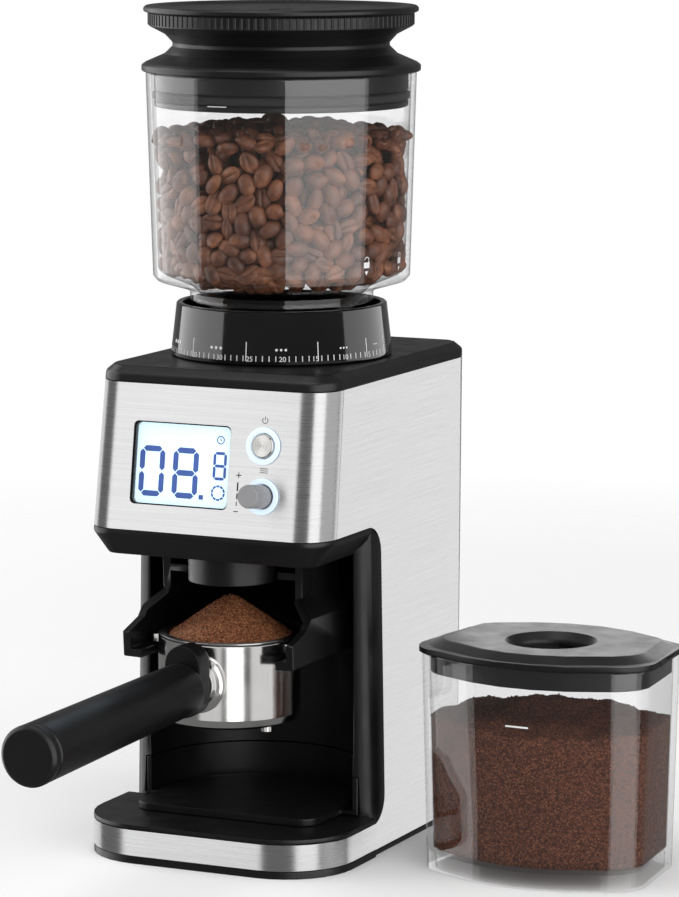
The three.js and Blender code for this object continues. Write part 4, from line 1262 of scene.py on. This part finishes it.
def make_container_grounds():
    """Ground coffee in the container, heaped a little in the middle, with loose grains on top."""
    low, middle = box_of("container_bin")[0], centre_of("container_bin")
    foot, line = low.z + FILL_FOOT, low.z + FILL_LINE
    layers, edge = wall_places(foot, line)
    top = heaped_top(edge, line)
    vertices = [Vector((middle.x, middle.y, foot)), *sum(layers, []), *top]
    last = len(vertices) - 1
    faces = flipped(fan(0, 1, FILL_SIDES)) + bands(1, FILL_SIDES, FILL_LAYERS + FILL_RINGS - 1)
    faces += fan(last, last - FILL_SIDES, FILL_SIDES)
    new_piece("container_grounds", vertices, faces, "container", "clear", PACKED_GROUNDS)
    rng = np.random.default_rng(29)
    places = [top[i] + UP * 0.12 * MM for i in rng.integers(0, len(top) - 1, BIN_GRAINS)]
    grains = joined(grain_parts(places, rng))
    new_piece("container_grains", *grains, "container", "clear", PACKED_GROUNDS, smooth=False)


def make_container_mark():
    """A level line on the front of the container."""
    low = box_of("container_bin")[0]
    middle = centre_of("container_bin")
    surface = surface_of("container_bin")

    def place(x, y, lift):
        start = Vector((middle.x + x * MM, low.y - 10 * MM, low.z + MARK_HEIGHT + y * MM))
        return surface.ray_cast(start, Vector((0, 1, 0)))[0] - Vector((0, lift + PRINT_PROUD, 0))

    parts = [extruded(bar(k, 0, k + 1, 0.8), place, PRINT_DEPTH) for k in range(-4, 7)]
    new_piece("container_mark", *joined(parts), "container", "clear", WHITE_PRINT, smooth=False)


# ---- light, floor and camera
CAMERA_PLACE = (0.8413, -1.7266, 0.4648)
CAMERA_TURN = math.radians(25.18)
CAMERA_PITCH = math.radians(8.42)
CAMERA_LENS = 167.4


def make_camera():
    """A long lens from the front and the right."""
    data = bpy.data.cameras.new("camera")
    data.lens = CAMERA_LENS
    data.sensor_width = 36
    data.clip_end = 50
    camera = bpy.data.objects.new("camera", data)
    back = Vector(
        (
            math.sin(CAMERA_TURN) * math.cos(CAMERA_PITCH),
            -math.cos(CAMERA_TURN) * math.cos(CAMERA_PITCH),
            math.sin(CAMERA_PITCH),
        )
    )
    camera.location = CAMERA_PLACE
    camera.rotation_euler = (-back).to_track_quat("-Z", "Y").to_euler()
    bpy.context.scene.collection.objects.link(camera)
    bpy.context.scene.camera = camera


LIGHT_TARGET = Vector((0.03, -0.03, 0.20))


def softbox(name, turn, distance, width, height, middle, glow, receivers):
    """A large soft light at an angle from the front, towards the right, which the camera doesn't see."""
    data = bpy.data.lights.new(name, "AREA")
    data.shape = "RECTANGLE"
    data.size = width
    data.size_y = height
    data.energy = glow * math.pi * width * height
    light = bpy.data.objects.new(name, data)
    angle = math.radians(turn)
    away = Vector((math.sin(angle) * distance, -math.cos(angle) * distance, middle - LIGHT_TARGET.z))
    light.location = LIGHT_TARGET + away
    light.rotation_euler = (-away).to_track_quat("-Z", "Y").to_euler()
    light.visible_camera = False
    bpy.context.scene.collection.objects.link(light)
    light.light_linking.receiver_collection = receivers


def arc_of_light(name, start, end, distance, height, middle, glow, receivers):
    """A softbox that spans the directions from one angle to another."""
    half = math.radians(end - start) / 2
    softbox(name, (start + end) / 2, distance, 2 * distance * math.tan(half), height, middle, glow, receivers)


def sorted_by_finish():
    """The groups of pieces that have cards of their own, and all the rest."""
    brushed_pieces, polished_pieces, dial, lid, rest = [
        bpy.data.collections.new(name + "_pieces") for name in ("brushed", "polished", "dial", "lid", "other")
    ]
    lid.objects.link(bpy.data.objects["container_lid_fine"])
    group_of = {
        MATERIALS["brushed_steel"]: brushed_pieces,
        bpy.data.materials["spun_metal"]: brushed_pieces,
        MATERIALS["polished_steel"]: polished_pieces,
        MATERIALS["gloss_black"]: dial,
    }
    for thing in bpy.context.scene.objects:
        if thing.type == "MESH":
            group_of.get(thing.data.materials[0], rest).objects.link(thing)
    return brushed_pieces, polished_pieces, dial, lid, rest


WHITE_SEEN, GLOSS_FILL, SOFT_FILL = 1.0, 0.18, 0.45


def make_world():
    """White to the camera, dim in reflections, and an even fill for matt surfaces."""
    world = bpy.data.worlds.new("studio")
    bpy.context.scene.world = world
    world.use_nodes = True
    tree = world.node_tree
    path = tree.nodes.new("ShaderNodeLightPath")
    shader = tree.nodes["Background"].outputs["Background"]
    tree.nodes["Background"].inputs["Color"].default_value = (1, 1, 1, 1)
    tree.nodes["Background"].inputs["Strength"].default_value = SOFT_FILL
    for ray, strength in (("Is Glossy Ray", GLOSS_FILL), ("Is Camera Ray", WHITE_SEEN)):
        light = tree.nodes.new("ShaderNodeBackground")
        light.inputs["Color"].default_value = (1, 1, 1, 1)
        light.inputs["Strength"].default_value = strength
        mix = tree.nodes.new("ShaderNodeMixShader")
        tree.links.new(path.outputs[ray], mix.inputs["Fac"])
        tree.links.new(shader, mix.inputs[1])
        tree.links.new(light.outputs["Background"], mix.inputs[2])
        shader = mix.outputs["Shader"]
    tree.links.new(shader, tree.nodes["World Output"].inputs["Surface"])


def make_light():
    """Softboxes and cards: angles, distance, height, middle, glow and the pieces that each one lights."""
    make_world()
    metal, polished_pieces, dial, lid, rest = sorted_by_finish()
    arc_of_light("left_softbox", -121, -53, 1.5, 2.2, 0.4, 1.9, rest)
    arc_of_light("right_softbox", 28, 106, 1.5, 2.2, 0.4, 1.9, rest)
    softbox("top_softbox", -20, 0.5, 1.6, 1.2, 2.0, 2.0, rest)
    arc_of_light("dial_left_card", -113, -40, 1.5, 1.5, 0.4, 2.2, dial)
    arc_of_light("dial_right_card", 96, 165, 1.5, 1.5, 0.4, 1.8, dial)
    softbox("dial_top_card", -20, 0.5, 1.6, 1.2, 2.0, 1.0, dial)
    arc_of_light("lid_card", -190, -130, 1.5, 1.4, 0.65, 1.5, lid)
    arc_of_light("front_card", -48, -14, 1.6, 2.6, 0.5, 1.3, metal)
    arc_of_light("left_card", -150, -96, 1.6, 2.6, 0.5, 0.8, metal)
    arc_of_light("corner_card", 36, 78, 1.6, 2.6, 0.5, 1.5, metal)
    arc_of_light("far_corner_card", 80, 132, 1.6, 2.6, 0.5, 0.5, metal)
    arc_of_light("side_card", 136, 178, 1.6, 2.6, 0.5, 1.0, metal)
    softbox("top_card", -20, 0.5, 1.6, 1.2, 2.0, 0.8, metal)
    arc_of_light("cup_card", 19, 46, 1.6, 2.4, 0.4, 1.9, polished_pieces)
    arc_of_light("cup_dim_card", -26, 12, 1.6, 2.4, 0.4, 0.55, polished_pieces)
    arc_of_light("cup_side_card", 56, 104, 1.6, 2.4, 0.4, 0.6, polished_pieces)
    arc_of_light("cup_strip", 111, 122, 1.6, 2.4, 0.4, 1.3, polished_pieces)
    softbox("cup_top_card", -20, 0.5, 1.6, 1.2, 2.0, 0.7, polished_pieces)


FLOOR_SIZE = 6.0
FLOOR_FADE = (0.45, 1.1)


def make_floor():
    """A pale floor that gives way to the white surround at a distance."""
    outline = bar(-FLOOR_SIZE, -FLOOR_SIZE, FLOOR_SIZE, FLOOR_SIZE)
    mesh = bpy.data.meshes.new("floor")
    mesh.from_pydata([(x, y, 0) for x, y in outline], [], [(0, 1, 2, 3)])
    floor = bpy.data.objects.new("floor", mesh)
    finish = Finish("floor", Roughness=0.7, Specular_IOR_Level=0.2)
    tone = finish.ramp(finish.noise(3, 2), (0.3, (0.96, 0.96, 0.96)), (0.7, (0.98, 0.98, 0.98)))
    finish.feed(tone, "Base Color")
    distance = finish.node("VectorMath", operation="LENGTH")
    finish.link(finish.place, distance.inputs[0])
    near, far = FLOOR_FADE
    finish.feed(finish.spread(distance.outputs["Value"], 1, 0, near, far), "Alpha")
    mesh.materials.append(finish.data)
    floor.visible_glossy = False
    bpy.context.scene.collection.objects.link(floor)


def main():
    bpy.context.scene.view_settings.view_transform = "Standard"
    make_camera()
    dress_cad_nodes()
    make_body()
    make_controls()
    make_hopper()
    make_beans()
    make_portafilter()
    make_basket_grounds()
    make_container()
    make_floor()
    make_light()


main()
